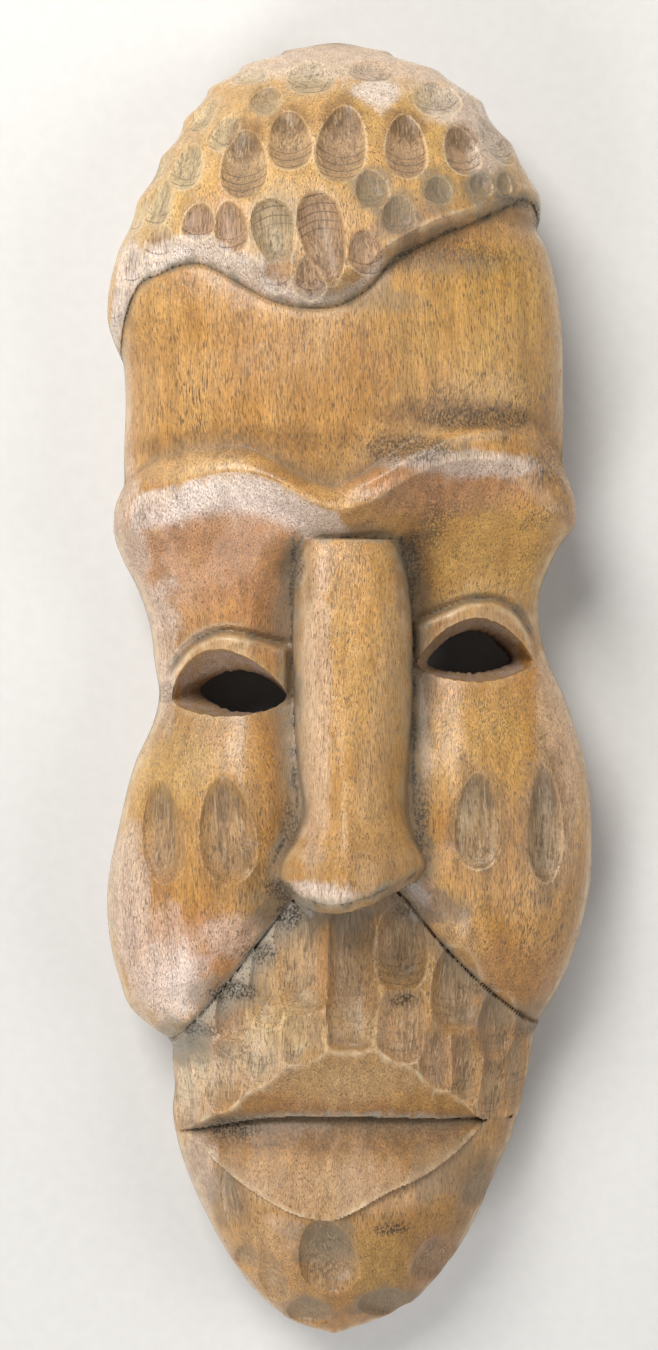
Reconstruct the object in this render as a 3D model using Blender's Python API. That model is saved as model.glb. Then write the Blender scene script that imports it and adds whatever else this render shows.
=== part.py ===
"""Carved wooden mask: a long face cut from half a log, hollowed behind, lying on the flat rim of its back.

The front is a height over the table, worked out band by band from the hair down to the chin. Its
sections are closed loops across the face, carried along its length. The two eyes are cut right through.
Metres, with the hair towards +Y and the face up. The origin is under the middle of the mask.
"""
import bmesh
import bpy
import numpy as np

# Driving sizes in metres
LENGTH = 0.380
WIDTH = 0.1425
DEPTH = 0.074
WALL = 0.012
RIM = 0.011
SIDE_LEAN = 0.003

# How finely the sections are worked out, and the share of their triangles that is kept
FRONT_COLUMNS = 150
HOLLOW_COLUMNS = 36
SIDE_STEPS = 4
ROWS = 300
KEPT = 0.072
EYE_POINTS = 28

# The blank is carved with this much spare wood under its back, and cutters reach this far past it
SAW_ALLOWANCE = 0.002
CUTTER_CLEARANCE = 0.020

# The carving is drawn at this size, in millimetres, and scaled to the driving sizes
DRAWN_LENGTH = 380.0
DRAWN_WIDTH = 142.75
DRAWN_DEPTH = 74.0
DRAWN_MIDDLE = -0.3

# The outline: how far it reaches left and right of the spine, as (y, reach), before its ends close
SPINE = -4.0
CROWN_CURVE = 95.0
CHIN_CURVE = 4.5
LEFT_REACH = ((190, 66), (184, 72), (178, 71.5), (163, 66.5), (142, 66.8), (128, 67.4), (113, 67.8),
              (106, 67), (100, 64.8), (95, 62.6), (88, 62), (66, 62.4), (58, 62.2), (52, 63.8),
              (45, 64.8), (37, 62.5), (30, 59), (19, 55.2), (7, 53.6), (-3, 52.3), (-10, 53.8),
              (-22, 59), (-40, 63.6), (-60, 67.15), (-73, 66.6), (-86, 63.7), (-95, 60.2), (-100, 54.8),
              (-104, 49.6), (-111, 48.4), (-118, 47.8), (-126, 48.4), (-134, 47.2), (-141, 45.2),
              (-149, 42.1), (-157, 38.2), (-164.5, 34.2), (-172, 29.2), (-177, 25.4), (-182, 20.4),
              (-186.4, 15), (-190, 11.5))
RIGHT_REACH = ((190, 62), (184, 70), (178, 73.4), (163, 70.2), (147, 70), (140, 69), (136.5, 67.8),
               (133.5, 65.9), (128, 66), (100, 66.8), (72, 67.3), (60, 67.2), (54, 68.9), (49, 70.2),
               (46, 69.3), (43, 67), (37, 63.8), (28, 60.6), (19, 60.4), (7, 63.2), (-2, 67.4),
               (-10, 70.3), (-22, 73.7), (-45, 75.5), (-60, 74.6), (-70, 72.3), (-81, 69), (-92, 64),
               (-101, 59.5), (-110, 57.9), (-118, 56.3), (-126, 54.6), (-134, 52.2), (-141, 48.9),
               (-149, 45.6), (-157, 42), (-164.5, 37.9), (-171, 33.3), (-177, 28), (-182, 22.6),
               (-186.4, 14), (-190, 7))

# Heights over the table, as (y, z): the outline's edge, then the spine of each band of the face
EDGE = ((190, 19), (170, 20), (140, 22), (110, 24), (90, 20), (66, 20), (50, 27), (38, 21), (0, 17),
        (-40, 20), (-80, 20), (-100, 17), (-130, 15), (-160, 14.5), (-180, 17), (-190, 18))
HAIR_TOP = ((190, 20), (178, 37), (166, 48), (150, 58), (135, 64), (115, 66.5), (95, 66), (60, 66))
FOREHEAD_TOP = ((190, 50), (140, 57), (120, 59), (100, 60.5), (80, 61), (60, 59), (40, 57))
BROW_TOP = 62.5
CHEEK_TOP = ((60, 42), (30, 41), (15, 42), (5, 43.5), (-5, 46), (-15, 50), (-25, 53), (-40, 55.5),
             (-60, 55), (-80, 52), (-95, 49), (-120, 45))
MUZZLE_TOP = ((-40, 41), (-60, 42.5), (-72, 43.5), (-86, 46.5), (-100, 51), (-112, 50), (-125, 48),
              (-140, 47.5), (-150, 47), (-160, 43.5), (-170, 38.5), (-180, 32), (-190, 23))
SLIT_TOP = 35.0
LIP_STEP = 4.0
LOWEST_FRONT = ((190, 16), (170, 42), (150, 54), (120, 57), (80, 57), (60, 52), (45, 44), (30, 38),
                (15, 36), (0, 37), (-20, 41), (-45, 41), (-60, 40), (-75, 39), (-95, 41), (-110, 38),
                (-123, 34), (-135, 35), (-150, 39), (-165, 34), (-180, 22), (-190, 12))

# Lines that part the bands, as (x, y)
HAIRLINE = ((-75, 84), (-67, 96), (-64.5, 104), (-61, 112), (-54, 116), (-42, 118), (-31, 112),
            (-22, 107), (-11, 104.6), (-1.5, 106), (5.4, 110.7), (11, 117), (22, 124.3), (36, 131),
            (45, 136.4), (50, 139.2), (53.4, 138.4), (56, 133.6), (59, 127))
VALLEY = ((-70, 56), (-64, 59.5), (-57, 63.5), (-48, 66.4), (-38, 67.1), (-29, 66.5), (-21, 62.8),
          (-14, 58.8), (-5, 56), (0, 57.5), (9, 63), (19, 69.8), (26.5, 73.6), (35, 75.4), (49, 75.6),
          (58, 70.6), (68, 62))
ROLL = ((-3.4, 53.8), (6.5, 57.5), (16, 63), (26, 67.7), (36.5, 70.7), (43, 72))
CREST = ((-72, 45), (-67, 48.5), (-61, 54), (-52, 56.3), (-44, 58), (-37, 59.2), (-30, 59.3), (-23, 57.6),
         (-16, 54.2), (-10.6, 51), (-5.6, 49), (0, 49), (6.4, 51.2), (13.6, 56), (21, 59.8), (28.6, 62.3),
         (37, 63.2), (47, 62.6), (55, 59.8), (60, 54.4), (66, 48.5), (70, 45))
LID = ((-70, 4), (-58, 2), (-52, 5.5), (-48, 10.3), (-42, 14.6), (-37, 16.1), (-31, 15.6), (-26, 14.2),
       (-19, 12.5), (-5, 14), (10, 16), (18.4, 19), (26.8, 22.4), (32.3, 24.6), (38, 25.4), (45, 24.2),
       (50, 20.5), (54, 15), (60, 10), (68, 8))
CHEEK_FOOT = ((-62, -108), (-56, -106), (-50, -101.5), (-41, -92), (-32.5, -81.6), (-24, -70.5), (-15, -60),
              (-2, -52), (13, -58), (25.4, -72.5), (35.5, -83), (44.4, -90.8), (52.4, -97), (60, -101))
UPPER_LIP = ((-52, -131), (-44, -126), (-31, -117), (-17, -106), (-6, -99.8), (5.5, -100.6), (15, -105.4),
             (24, -111.6), (32, -117.4), (37.6, -124), (50, -125.4))
SLIT = ((-52, -131.5), (-42, -128), (-26, -124), (-3, -123), (19, -123.8), (30, -124.6), (37.6, -125),
        (50, -126))
LOWER_LIP = ((-52, -130), (-46, -131), (-37.4, -137.4), (-28, -143.4), (-20, -147.4), (-12, -150),
             (-4, -150.2), (2, -147.6), (9.2, -143.8), (22.6, -138.2), (28.2, -134.8), (34.8, -129.6),
             (37.8, -126.4), (50, -126.6))

# Half the mouth's width, where the upper lip's step over the slit has run out
MOUTH_HALF = 41.0

# The nose: its ridge line, its left and right edges and its height along y, and its front's foot as (x, y)
NOSE_LINE = -1.3
NOSE_HEAD = 41.5
NOSE_BASE = 36.0
NOSE_LEFT = ((45, -15.4), (40, -15.8), (34, -16.2), (0, -16.2), (-25, -15.7), (-36, -15.2), (-42, -17.6),
             (-48, -21), (-53, -21.6), (-60, -19), (-70, -17))
NOSE_RIGHT = ((45, 14), (40, 14.8), (34, 16.4), (24, 17.6), (0, 18.2), (-28, 18), (-36, 18.4),
              (-42, 20.2), (-48, 22.8), (-53, 23), (-60, 20.5), (-70, 18))
NOSE_TOP = ((45, 53), (40, 55.5), (30, 58), (15, 60.5), (0, 63), (-20, 67), (-35, 70), (-48, 73), (-58, 74),
            (-70, 74))
NOSE_FOOT = ((-30, -47), (-24, -49), (-20.7, -52.5), (-15.8, -56), (-8.6, -58.2), (-3.5, -58.1), (3, -56.6),
             (10.4, -54), (15.8, -51.9), (21.3, -50), (26, -47))

# Each eye: rim corners (x, y, x, y), rise and fall of its arcs, lean of the upper arc; then its back's
LEFT_EYE = ((-51.5, -3.2, -17.6, -2.4), 13.8, 5.6, 0.75, (-44.2, -0.6, -18.4, -2.4), 6.3, 6.0)
RIGHT_EYE = ((19.4, 7.1, 53.4, 7.7), 12.4, 6.0, 1.0, (22.8, 7.2, 49.2, 8.2), 8.8, 3.7)

# Gouge cuts as (x, y, half width, half length, tilt in degrees, depth)
HAIR_CUTS = (
    (-28.8, 176.5, 5.4, 3.8, 0, 1.6), (-11, 173.5, 6.8, 6.4, 0, 2.6),
    (-23.6, 165.4, 4.5, 5.3, -25, 2.4), (-41.6, 164, 3.5, 6.4, -32, 1.8),
    (-35.2, 156, 4.0, 6.3, -26, 2.2), (-45.8, 146.4, 4.7, 7.5, -12, 2.6),
    (-53.6, 136.2, 3.8, 7.6, -15, 2.4), (-54.4, 150, 2.7, 6.3, -30, 1.5),
    (-60.4, 134.5, 2.6, 6.4, -26, 1.5), (-29.4, 145, 6.5, 10.8, 0, 3.4),
    (-16.8, 151.6, 6.1, 9.6, 5, 3.2), (-42, 128.8, 4.7, 5.6, -6, 2.2), (-33, 126.4, 4.5, 7.6, 8, 2.6),
    (-53.4, 124.6, 4.0, 4.8, -15, 2.0), (-61.6, 118.8, 2.9, 5.6, 0, 1.8), (-67, 109, 2.4, 6.4, 0, 1.4),
    (-21, 124, 5.5, 9.8, 192, 3.4), (-20.2, 113.4, 3.8, 5.2, 6, 1.8),
    (-7.6, 122.4, 6.0, 13.4, 192, 3.6), (-10.8, 112.2, 4.3, 6.2, 0, 2.2),
    (-2.4, 150.4, 6.9, 12.4, -6, 3.6), (15.4, 150, 5.7, 10.4, 2, 3.0), (31.2, 150.2, 5.0, 8.1, 12, 2.8),
    (41.6, 156.4, 4.4, 8.8, 28, 1.8), (24.8, 167.6, 7.0, 6.2, 20, 2.4), (6.2, 176.2, 6.5, 4.6, 0, 2.0),
    (5.7, 136.4, 4.4, 5.6, 14, 2.4), (24.2, 137, 3.9, 4.2, 0, 2.0), (36.5, 140.2, 3.5, 3.5, 0, 1.8),
    (43.5, 141.8, 2.3, 3.9, 0, 1.6), (13.2, 129.2, 4.5, 5.5, 0, 2.4), (4.2, 118.8, 4.9, 6.2, 8, 2.4),
)
CHEEK_CUTS = ((-53, -41, 6.2, 14.6, 5, 2.6), (-34.5, -40, 7.8, 15.2, 6, 3.0),
              (36, -37.5, 6.6, 13.6, 0, 2.4), (55.5, -39, 5.2, 16.6, 0, 2.2))
BEARD_FLUTES = (
    (0.7, -80, 7.2, 22.0, 0, 3.4), (-0.2, -97, 6.4, 5.8, 0, 3.4), (-14.0, -77, 7.9, 15.5, 0, 3.0),
    (-23.4, -84.5, 5.2, 12.5, -6, 2.4),
)
BEARD_BOWLS = (
    (-32.2, -92.0, 5.8, 8.8, 0, 3.4), (-12.4, -98.5, 7.2, 8.8, 4, 1.7), (-26.0, -101.5, 6.2, 11.6, -4, 2.5),
    (-35.8, -110.5, 5.4, 12.0, -6, 2.2), (-43.0, -105, 4.4, 10.4, 0, 2.2), (-47.8, -115, 3.8, 15.0, 0, 1.7),
    (14.6, -74.0, 7.6, 12.4, 0, 3.0), (15.2, -94.5, 8.0, 11.6, 0, 2.0), (30.2, -86, 7.2, 12.4, 0, 3.0),
    (24.4, -104.5, 5.2, 11.6, 6, 1.7), (33.2, -107, 5.2, 12.6, 4, 1.6), (42.4, -97.4, 6.0, 10.4, 0, 2.5),
    (41.8, -115, 5.2, 12.6, 0, 1.6), (48.4, -110, 4.0, 15.0, 0, 1.6),
)
CHIN_CUTS = (
    (-6.4, -162, 8.2, 12.4, 12, 3.0), (-11.6, -181.2, 6.4, 5.6, 0, 2.2),
    (-29.5, -165.4, 3.8, 5.0, -8, 1.5), (24.4, -165.6, 6.4, 7.8, -10, 2.2),
    (10.6, -178.6, 7.8, 5.4, -16, 2.2), (37.6, -146, 5.0, 6.0, -12, 1.7),
    (-33, -146.5, 4.4, 9.6, 12, 1.3), (-22.4, -170, 4.0, 9.4, 14, 1.0),
)


def flowing(stations, at):
    """A smooth curve through the stations: cubic pieces whose slopes follow the neighbouring stations."""
    knots, values = np.array(sorted(stations), float).T
    slopes = np.gradient(values, knots)
    at = np.clip(at, knots[0], knots[-1])
    i = np.clip(np.searchsorted(knots, at) - 1, 0, len(knots) - 2)
    span = knots[i + 1] - knots[i]
    t = (at - knots[i]) / span
    rise = values[i + 1] - values[i]
    bend_in = slopes[i] * span - rise
    bend_out = rise - slopes[i + 1] * span
    return values[i] + t * rise + t * (1 - t) * ((1 - t) * bend_in + t * bend_out)


def ease(t):
    """A soft step: 0 up to 0, 1 from 1 on."""
    t = np.clip(t, 0, 1)
    return t * t * (3 - 2 * t)


def outline(y):
    """Left and right x of the outline at y. Both ends close along an arc."""
    up = np.clip((y - DRAWN_LENGTH / 2 + CROWN_CURVE) / CROWN_CURVE, 0, 1)
    down = np.clip((-y - DRAWN_LENGTH / 2 + CHIN_CURVE) / CHIN_CURVE, 0, 1)
    closing = np.sqrt(1 - up**2) * np.sqrt(1 - down**2)
    return SPINE - flowing(LEFT_REACH, y) * closing, SPINE + flowing(RIGHT_REACH, y) * closing


def across(x, y):
    """Share of the way from the spine to the outline: -1 at the left edge, 1 at the right."""
    left, right = outline(y)
    reach = np.where(x < SPINE, SPINE - left, right - SPINE)
    return np.clip((x - SPINE) / np.maximum(reach, 1e-6), -1, 1)


def log(x, y, top, power):
    """A split log's section, from the edge height up to top on the spine; a higher power is squarer."""
    edge = flowing(EDGE, y)
    return edge + (top - edge) * (1 - np.abs(across(x, y))**power)**(1 / power)


def past(line, x, y):
    """Distance above a parting line, measured square to it."""
    slope = flowing(line, x + 0.5) - flowing(line, x - 0.5)
    return (y - flowing(line, x)) / np.sqrt(1 + slope**2)


def cut_depth(x, y, cuts, squareness=2.2, taper=0.22):
    """Depth of the gouge cuts: dished bowls, narrow where the tool went in and full at the foot.

    A higher squareness draws them out into flutes with blunt ends, and taper is their narrowing at the top.
    """
    depth = np.zeros(x.shape)
    for middle_x, middle_y, half, length, tilt, deepest in cuts:
        turn = np.radians(tilt)
        dx = x - middle_x
        dy = y - middle_y
        along = (dy * np.cos(turn) - dx * np.sin(turn)) / length
        aside = (dx * np.cos(turn) + dy * np.sin(turn)) / (half * (1 - taper * np.clip(along, -1, 1)))
        bowl = np.clip(1 - aside**2 - np.abs(along)**squareness, 0, 1)
        scooped = 1 - 0.3 * np.clip(along, -1, 1)
        depth = np.maximum(depth, deepest * scooped * bowl**0.7)
    return depth


def almond(x, corners, rise, fall, lean=1.0):
    """Upper and lower edge of an eye at x: the line between its corners, arched up and down."""
    x0, y0, x1, y1 = corners
    t = np.clip((x - x0) / (x1 - x0), 0, 1)
    line = y0 + (y1 - y0) * t
    return line + rise * np.sin(np.pi * t**lean)**0.75, line - fall * np.sqrt(np.sin(np.pi * t))


def lids(x, y):
    """The raised band over each eye, from its crease down to the rim."""
    crease = past(LID, x, y)
    raised = np.zeros(x.shape)
    for eye in (LEFT_EYE, RIGHT_EYE):
        x0, y0, x1, y1 = eye[0]
        middle = y0 + (y1 - y0) * np.clip((x - x0) / (x1 - x0), 0, 1)
        within = ease((x - x0 + 3.5) / 5) * ease((x1 + 1.5 - x) / 3)
        raised += 2.6 * within * ease(-crease / 2.2) * ease((y - middle + 3) / 5)
        raised -= 1.2 * within * np.exp(-(crease / 1.3)**2)
    return raised


def forehead_and_hair(x, y):
    """The forehead, and the gouged cap of hair that stands above it behind a bevelled band."""
    forehead = log(x, y, flowing(FOREHEAD_TOP, y), 2.15)
    hair = log(x, y, flowing(HAIR_TOP, y), 2.1) - cut_depth(x, y, HAIR_CUTS)
    beyond = past(HAIRLINE, x, y)
    band = 6.6 - 4.0 * ease((x + 6) / 20)
    capped = forehead + (hair - forehead) * np.clip(beyond / band, 0, 1)
    return np.where(beyond > 0, capped, forehead - np.exp(np.minimum(beyond, 0) / 1.2))


def brow(x, y, forehead):
    """The brow's roll, from the valley under the forehead down to its crest."""
    valley = flowing(VALLEY, x)
    crest = flowing(CREST, x)
    dip = 1.0 + 0.8 * ease((x + 4) / 10)
    forehead = forehead - dip * (1 - ease((y - valley) / 13))
    rise = np.clip((valley - y) / (valley - crest), 0, 1)
    roll = 1.4 * np.exp(-(past(ROLL, x, y) / 1.8)**2) * ease((x + 4) / 8) * ease((52 - x) / 14) * (rise > 0)
    return forehead + (log(x, crest, BROW_TOP, 2.2) - forehead) * np.sin(rise * np.pi / 2) + roll


def sockets_and_cheeks(x, y):
    """The plane that falls from the crest to the lids, and the full cheeks below, with their cuts."""
    crest = flowing(CREST, x)
    lid = flowing(LID, x)
    fall = np.clip((crest - y) / (crest - lid), 0, 1)
    steep = 1.8 + 1.2 * np.exp(-((x + 2) / 13)**2)
    lid_top = flowing(CHEEK_TOP, lid)
    top = np.where(y > lid, lid_top + (BROW_TOP - lid_top) * (1 - fall)**steep, flowing(CHEEK_TOP, y))
    beside_nose = np.maximum(flowing(NOSE_LEFT, y) - x, x - flowing(NOSE_RIGHT, y))
    hollow = 6 * ease((40 - y) / 22) * (1 - ease(beside_nose / 16))
    pits = sum(2.5 * np.exp(-((x - at)**2 + (y - level)**2) / 20) for at, level in ((-17, 34), (16, 38)))
    return log(x, y, top, 2.2) - hollow - pits + lids(x, y) - cut_depth(x, y, CHEEK_CUTS)


def muzzle_and_chin(x, y):
    """The fluted muzzle, the upper lip that steps over the slit, the lower lip and the gouged chin."""
    muzzle = log(x, y, flowing(MUZZLE_TOP, y), 1.9)
    slit = flowing(SLIT, x)
    upper = flowing(UPPER_LIP, x)
    lower = flowing(LOWER_LIP, x)
    slit_height = log(x, slit, SLIT_TOP, 2.2)
    upper_height = log(x, upper, flowing(MUZZLE_TOP, upper), 1.9)
    lower_height = log(x, lower, flowing(MUZZLE_TOP, lower), 1.9)
    flutes = np.maximum(cut_depth(x, y, BEARD_FLUTES, 5, 0.08), cut_depth(x, y, BEARD_BOWLS, 2.6, 0.12))
    bearded = muzzle - flutes
    inward = np.clip((upper - y) / np.maximum(upper - slit, 0.3), 0, 1)
    overhang = slit_height + LIP_STEP * np.sqrt(np.clip(1 - ((x - SPINE) / MOUTH_HALF)**2, 0, 1))
    upper_plane = np.minimum(upper_height + (overhang - upper_height) * inward, bearded)
    outward = np.clip((slit - y) / np.maximum(slit - lower, 0.3), 0, 1)
    lower_plane = slit_height + (lower_height - slit_height) * outward**0.9
    undercut = (0.9 + 1.1 * ease((x + 6) / 8)) * np.exp(-np.clip(lower - y, 0, 60) / 7)
    chin = muzzle - undercut - cut_depth(x, y, CHIN_CUTS)
    z = np.where(y > upper, bearded, upper_plane)
    z = np.where(y < slit, lower_plane, z)
    return np.where(y < np.minimum(slit, lower), chin, z)


def nose(x, y):
    """A long half cylinder that turns angular, flares like a bell at the wings and is bevelled below."""
    edge = np.where(x < NOSE_LINE, flowing(NOSE_LEFT, y), flowing(NOSE_RIGHT, y))
    aside = (x - NOSE_LINE) / (edge - NOSE_LINE)
    power = 4.0 - 2.3 * ease((42 - y) / 80)
    ridge = NOSE_BASE + (flowing(NOSE_TOP, y) - NOSE_BASE) * (1 - np.clip(aside, 0, 1)**power)**0.55
    below = np.minimum(past(NOSE_FOOT, x, y), 0)
    ridge = ridge + 2.2 * below + 20 * np.minimum(below + 3.5, 0)
    return np.where((y > NOSE_HEAD) | (aside >= 1), 0, ridge)


def front(x, y):
    """Height of the carved front over the table at x and y, all in drawn millimetres."""
    z = forehead_and_hair(x, y)
    z = np.where(y < flowing(VALLEY, x) + 14, brow(x, y, z), z)
    z = np.where(y < flowing(CREST, x), sockets_and_cheeks(x, y), z)
    muzzle = muzzle_and_chin(x, y)
    foot = past(CHEEK_FOOT, x, y)
    lobe = np.sqrt(1 - (1 - np.clip(foot / 20, 0, 1))**2)
    ground = np.minimum(muzzle - 2.5, z)
    z = np.where(foot > 0, ground + (z - ground) * lobe, muzzle)
    return np.maximum(z, nose(x, y))


def to_metres(x, y, z):
    """Drawn millimetres to metres at the driving sizes, with the outline's middle at x = 0."""
    return np.stack([(x - DRAWN_MIDDLE) * WIDTH / DRAWN_WIDTH, y * LENGTH / DRAWN_LENGTH,
                     z * DEPTH / DRAWN_DEPTH], axis=-1)


def inset(x, y, distance):
    """The outline drawn in towards the middle by metres at its ends and at its widest."""
    return (SPINE + (x - SPINE) * (1 - 2 * distance / WIDTH), y * (1 - 2 * distance / LENGTH))


def section_points(around, along):
    """Points of the closed sections, front, right side, rim, hollow, rim and left side, in metres.

    around numbers a section's points and along runs from -1 at the chin to 1 at the crown.
    """
    y = np.sign(along) * (1 - (1 - np.abs(along))**1.35) * DRAWN_LENGTH / 2
    left, right = outline(y)

    share = np.sin((np.clip(around / FRONT_COLUMNS, 0, 1) - 0.5) * np.pi)
    x = SPINE + np.where(share < 0, SPINE - left, right - SPINE) * share
    points = to_metres(x, y, front(x, y))

    after_front = around - FRONT_COLUMNS
    hollow_start = SIDE_STEPS + 1
    hollow_end = hollow_start + HOLLOW_COLUMNS
    on_right = after_front < hollow_start
    step = np.where(on_right, after_front, hollow_end + hollow_start - after_front)
    edge = np.where(on_right, right, left)
    down = np.clip(step / SIDE_STEPS, 0, 1)
    side_x, side_y = inset(edge, y, SIDE_LEAN * down**1.5 + RIM * (step > SIDE_STEPS))
    sides = to_metres(side_x, side_y, front(edge, y))
    sides[..., 2] = sides[..., 2] * (1 - down) - SAW_ALLOWANCE * down

    share = np.cos(np.clip((after_front - hollow_start) / HOLLOW_COLUMNS, 0, 1) * np.pi)
    edge = SPINE + np.where(share < 0, SPINE - left, right - SPINE) * share
    roof_x, roof_y = inset(edge, y, SIDE_LEAN + RIM)
    arch = (1 - np.abs(share)**3)**(1 / 3)
    hollow = to_metres(roof_x, roof_y, flowing(LOWEST_FRONT, roof_y))
    end_rise = np.clip(2 * np.sqrt(1 - along**2), 0, 1)
    roof = np.maximum(hollow[..., 2] - WALL, 0) + SAW_ALLOWANCE
    hollow[..., 2] = roof * arch * end_rise - SAW_ALLOWANCE

    in_hollow = (after_front >= hollow_start) & (after_front <= hollow_end)
    points = np.where((after_front > 0)[..., None], sides, points)
    return np.where(in_hollow[..., None], hollow, points)


def material(name, colour, roughness, metallic=0.0):
    """A plain Principled material."""
    made = bpy.data.materials.new(name)
    made.use_nodes = True
    shader = made.node_tree.nodes["Principled BSDF"]
    shader.inputs["Base Color"].default_value = (*colour, 1.0)
    shader.inputs["Roughness"].default_value = roughness
    shader.inputs["Metallic"].default_value = metallic
    return made


def collection(name):
    made = bpy.data.collections.new(name)
    bpy.context.scene.collection.children.link(made)
    return made


def carved_body(parts):
    """The whole carving before its eyes are cut: a grid rolled into closed sections and welded."""
    around_count = FRONT_COLUMNS + HOLLOW_COLUMNS + 2 * (SIDE_STEPS + 1)
    work = bmesh.new()
    bmesh.ops.create_grid(work, x_segments=around_count, y_segments=ROWS, size=1)
    flat = np.array([vertex.co for vertex in work.verts])
    around = np.round((flat[:, 0] + 1) / 2 * around_count)
    points = section_points(around, flat[:, 1].clip(-1, 1))
    for vertex, point in zip(work.verts, points):
        vertex.co = point
    bmesh.ops.remove_doubles(work, verts=work.verts, dist=1e-6)
    bmesh.ops.dissolve_degenerate(work, edges=work.edges, dist=1e-6)
    bmesh.ops.recalc_face_normals(work, faces=work.faces)
    mesh = bpy.data.meshes.new("carved_mask")
    work.to_mesh(mesh)
    work.free()
    body = bpy.data.objects.new("carved_mask", mesh)
    parts.objects.link(body)
    thin = body.modifiers.new("fewer triangles where the wood is plain", "DECIMATE")
    thin.ratio = KEPT
    return body


def eye_ring(corners, rise, fall, lean=1.0):
    """Points round an eye's edge: along its upper arc and back along the lower one."""
    turn = np.arange(EYE_POINTS) * 2 * np.pi / EYE_POINTS
    x0, y0, x1, y1 = corners
    x = (x0 + x1) / 2 - (x1 - x0) / 2 * np.cos(turn)
    upper, lower = almond(x, corners, rise, fall, lean)
    return x, np.where(np.sin(turn) >= 0, upper, lower)


def eye_cutter(name, eye, cutters):
    """A flared plug: the rim's outline down to the front, tapering to the smaller hole at the hollow."""
    corners, rise, fall, lean, back_corners, back_rise, back_fall = eye
    rim_x, rim_y = eye_ring(corners, rise, fall, lean)
    hole_x, hole_y = eye_ring(back_corners, back_rise, back_fall)
    surface = to_metres(rim_x, rim_y, front(rim_x, rim_y))
    above = surface + [0, 0, CUTTER_CLEARANCE]
    back = to_metres(hole_x, hole_y, front(rim_x, rim_y))
    back[:, 2] -= WALL
    below = back.copy()
    below[:, 2] = -CUTTER_CLEARANCE
    rings = (below, back, surface, above)
    work = bmesh.new()
    loops = [[work.verts.new(point) for point in ring] for ring in rings]
    for lower_loop, upper_loop in zip(loops, loops[1:]):
        for i in range(EYE_POINTS):
            j = (i + 1) % EYE_POINTS
            work.faces.new((lower_loop[i], lower_loop[j], upper_loop[j], upper_loop[i]))
    work.faces.new(loops[0])
    work.faces.new(loops[-1])
    bmesh.ops.recalc_face_normals(work, faces=work.faces)
    mesh = bpy.data.meshes.new(name)
    work.to_mesh(mesh)
    work.free()
    cutter = bpy.data.objects.new(name, mesh)
    cutter.hide_render = True
    cutter.display_type = "WIRE"
    cutters.objects.link(cutter)
    return cutter


def saw_block(cutters):
    """Everything below the table: it takes the spare wood off the back and leaves a flat rim."""
    height = SAW_ALLOWANCE + CUTTER_CLEARANCE
    bpy.ops.mesh.primitive_cube_add(size=1, location=(0, 0, -height / 2))
    block = bpy.context.active_object
    block.name = "back_saw"
    block.scale = (WIDTH + CUTTER_CLEARANCE, LENGTH + CUTTER_CLEARANCE, height)
    block.hide_render = True
    block.display_type = "WIRE"
    for holder in list(block.users_collection):
        holder.objects.unlink(block)
    cutters.objects.link(block)
    return block


def build():
    """Make the mask, cut its eyes and saw its back flat."""
    for old in list(bpy.data.objects):
        bpy.data.objects.remove(old)
    parts = collection("wooden_mask")
    cutters = collection("cutters")
    mask = carved_body(parts)
    mask.data.materials.append(material("varnished carved wood", (0.46, 0.25, 0.10), 0.45))
    tools = (eye_cutter("left_eye", LEFT_EYE, cutters), eye_cutter("right_eye", RIGHT_EYE, cutters),
             saw_block(cutters))
    for tool in tools:
        cut = mask.modifiers.new(tool.name, "BOOLEAN")
        cut.object = tool
    mask.data.shade_smooth()
    mask.data.set_sharp_from_angle(angle=np.radians(35))


build()
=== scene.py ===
"""Carved wooden mask in full relief: varnished honey-brown wood with a gouged cap of hair and a fluted
beard, pale worn edges, grey dust and dark dirt in its creases, with some painted sheen, highlights
and shade. It lies on a pale floor in soft light.

The carving is drawn in millimetres, x to the viewer's right, y to the hair and z up from the table,
and is scaled to the frame's size.
"""

import bpy
import numpy as np
from bpy.props import FloatProperty, FloatVectorProperty, IntProperty, PointerProperty
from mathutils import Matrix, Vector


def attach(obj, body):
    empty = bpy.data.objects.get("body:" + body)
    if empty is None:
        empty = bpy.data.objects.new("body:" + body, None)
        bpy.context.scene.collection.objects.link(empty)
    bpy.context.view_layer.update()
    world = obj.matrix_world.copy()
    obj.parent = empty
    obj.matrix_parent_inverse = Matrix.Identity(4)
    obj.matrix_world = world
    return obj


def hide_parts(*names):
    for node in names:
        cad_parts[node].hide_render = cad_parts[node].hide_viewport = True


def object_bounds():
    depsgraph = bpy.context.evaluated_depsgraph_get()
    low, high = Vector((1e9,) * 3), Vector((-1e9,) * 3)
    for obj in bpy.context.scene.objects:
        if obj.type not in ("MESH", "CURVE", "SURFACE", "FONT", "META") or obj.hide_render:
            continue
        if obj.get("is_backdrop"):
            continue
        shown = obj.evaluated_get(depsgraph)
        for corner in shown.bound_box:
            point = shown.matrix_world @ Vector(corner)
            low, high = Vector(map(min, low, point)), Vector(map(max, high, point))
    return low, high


bl_info = {
    "name": "Carved Wooden Mask",
    "version": (1, 0, 0),
    "blender": (4, 5, 0),
    "location": "3D View > Sidebar > Wooden Mask",
    "description": "Carves a long wooden face with gouged hair and beard, and lays it on a pale floor",
    "category": "Object",
}

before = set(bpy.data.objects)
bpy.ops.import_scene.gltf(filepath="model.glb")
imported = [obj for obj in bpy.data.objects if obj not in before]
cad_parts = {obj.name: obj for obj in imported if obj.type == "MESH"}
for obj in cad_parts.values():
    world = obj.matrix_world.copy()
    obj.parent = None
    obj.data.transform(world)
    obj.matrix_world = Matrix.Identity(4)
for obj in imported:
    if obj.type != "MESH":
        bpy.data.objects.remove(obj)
CAD_LOW, CAD_HIGH = (tuple(corner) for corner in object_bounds())

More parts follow.
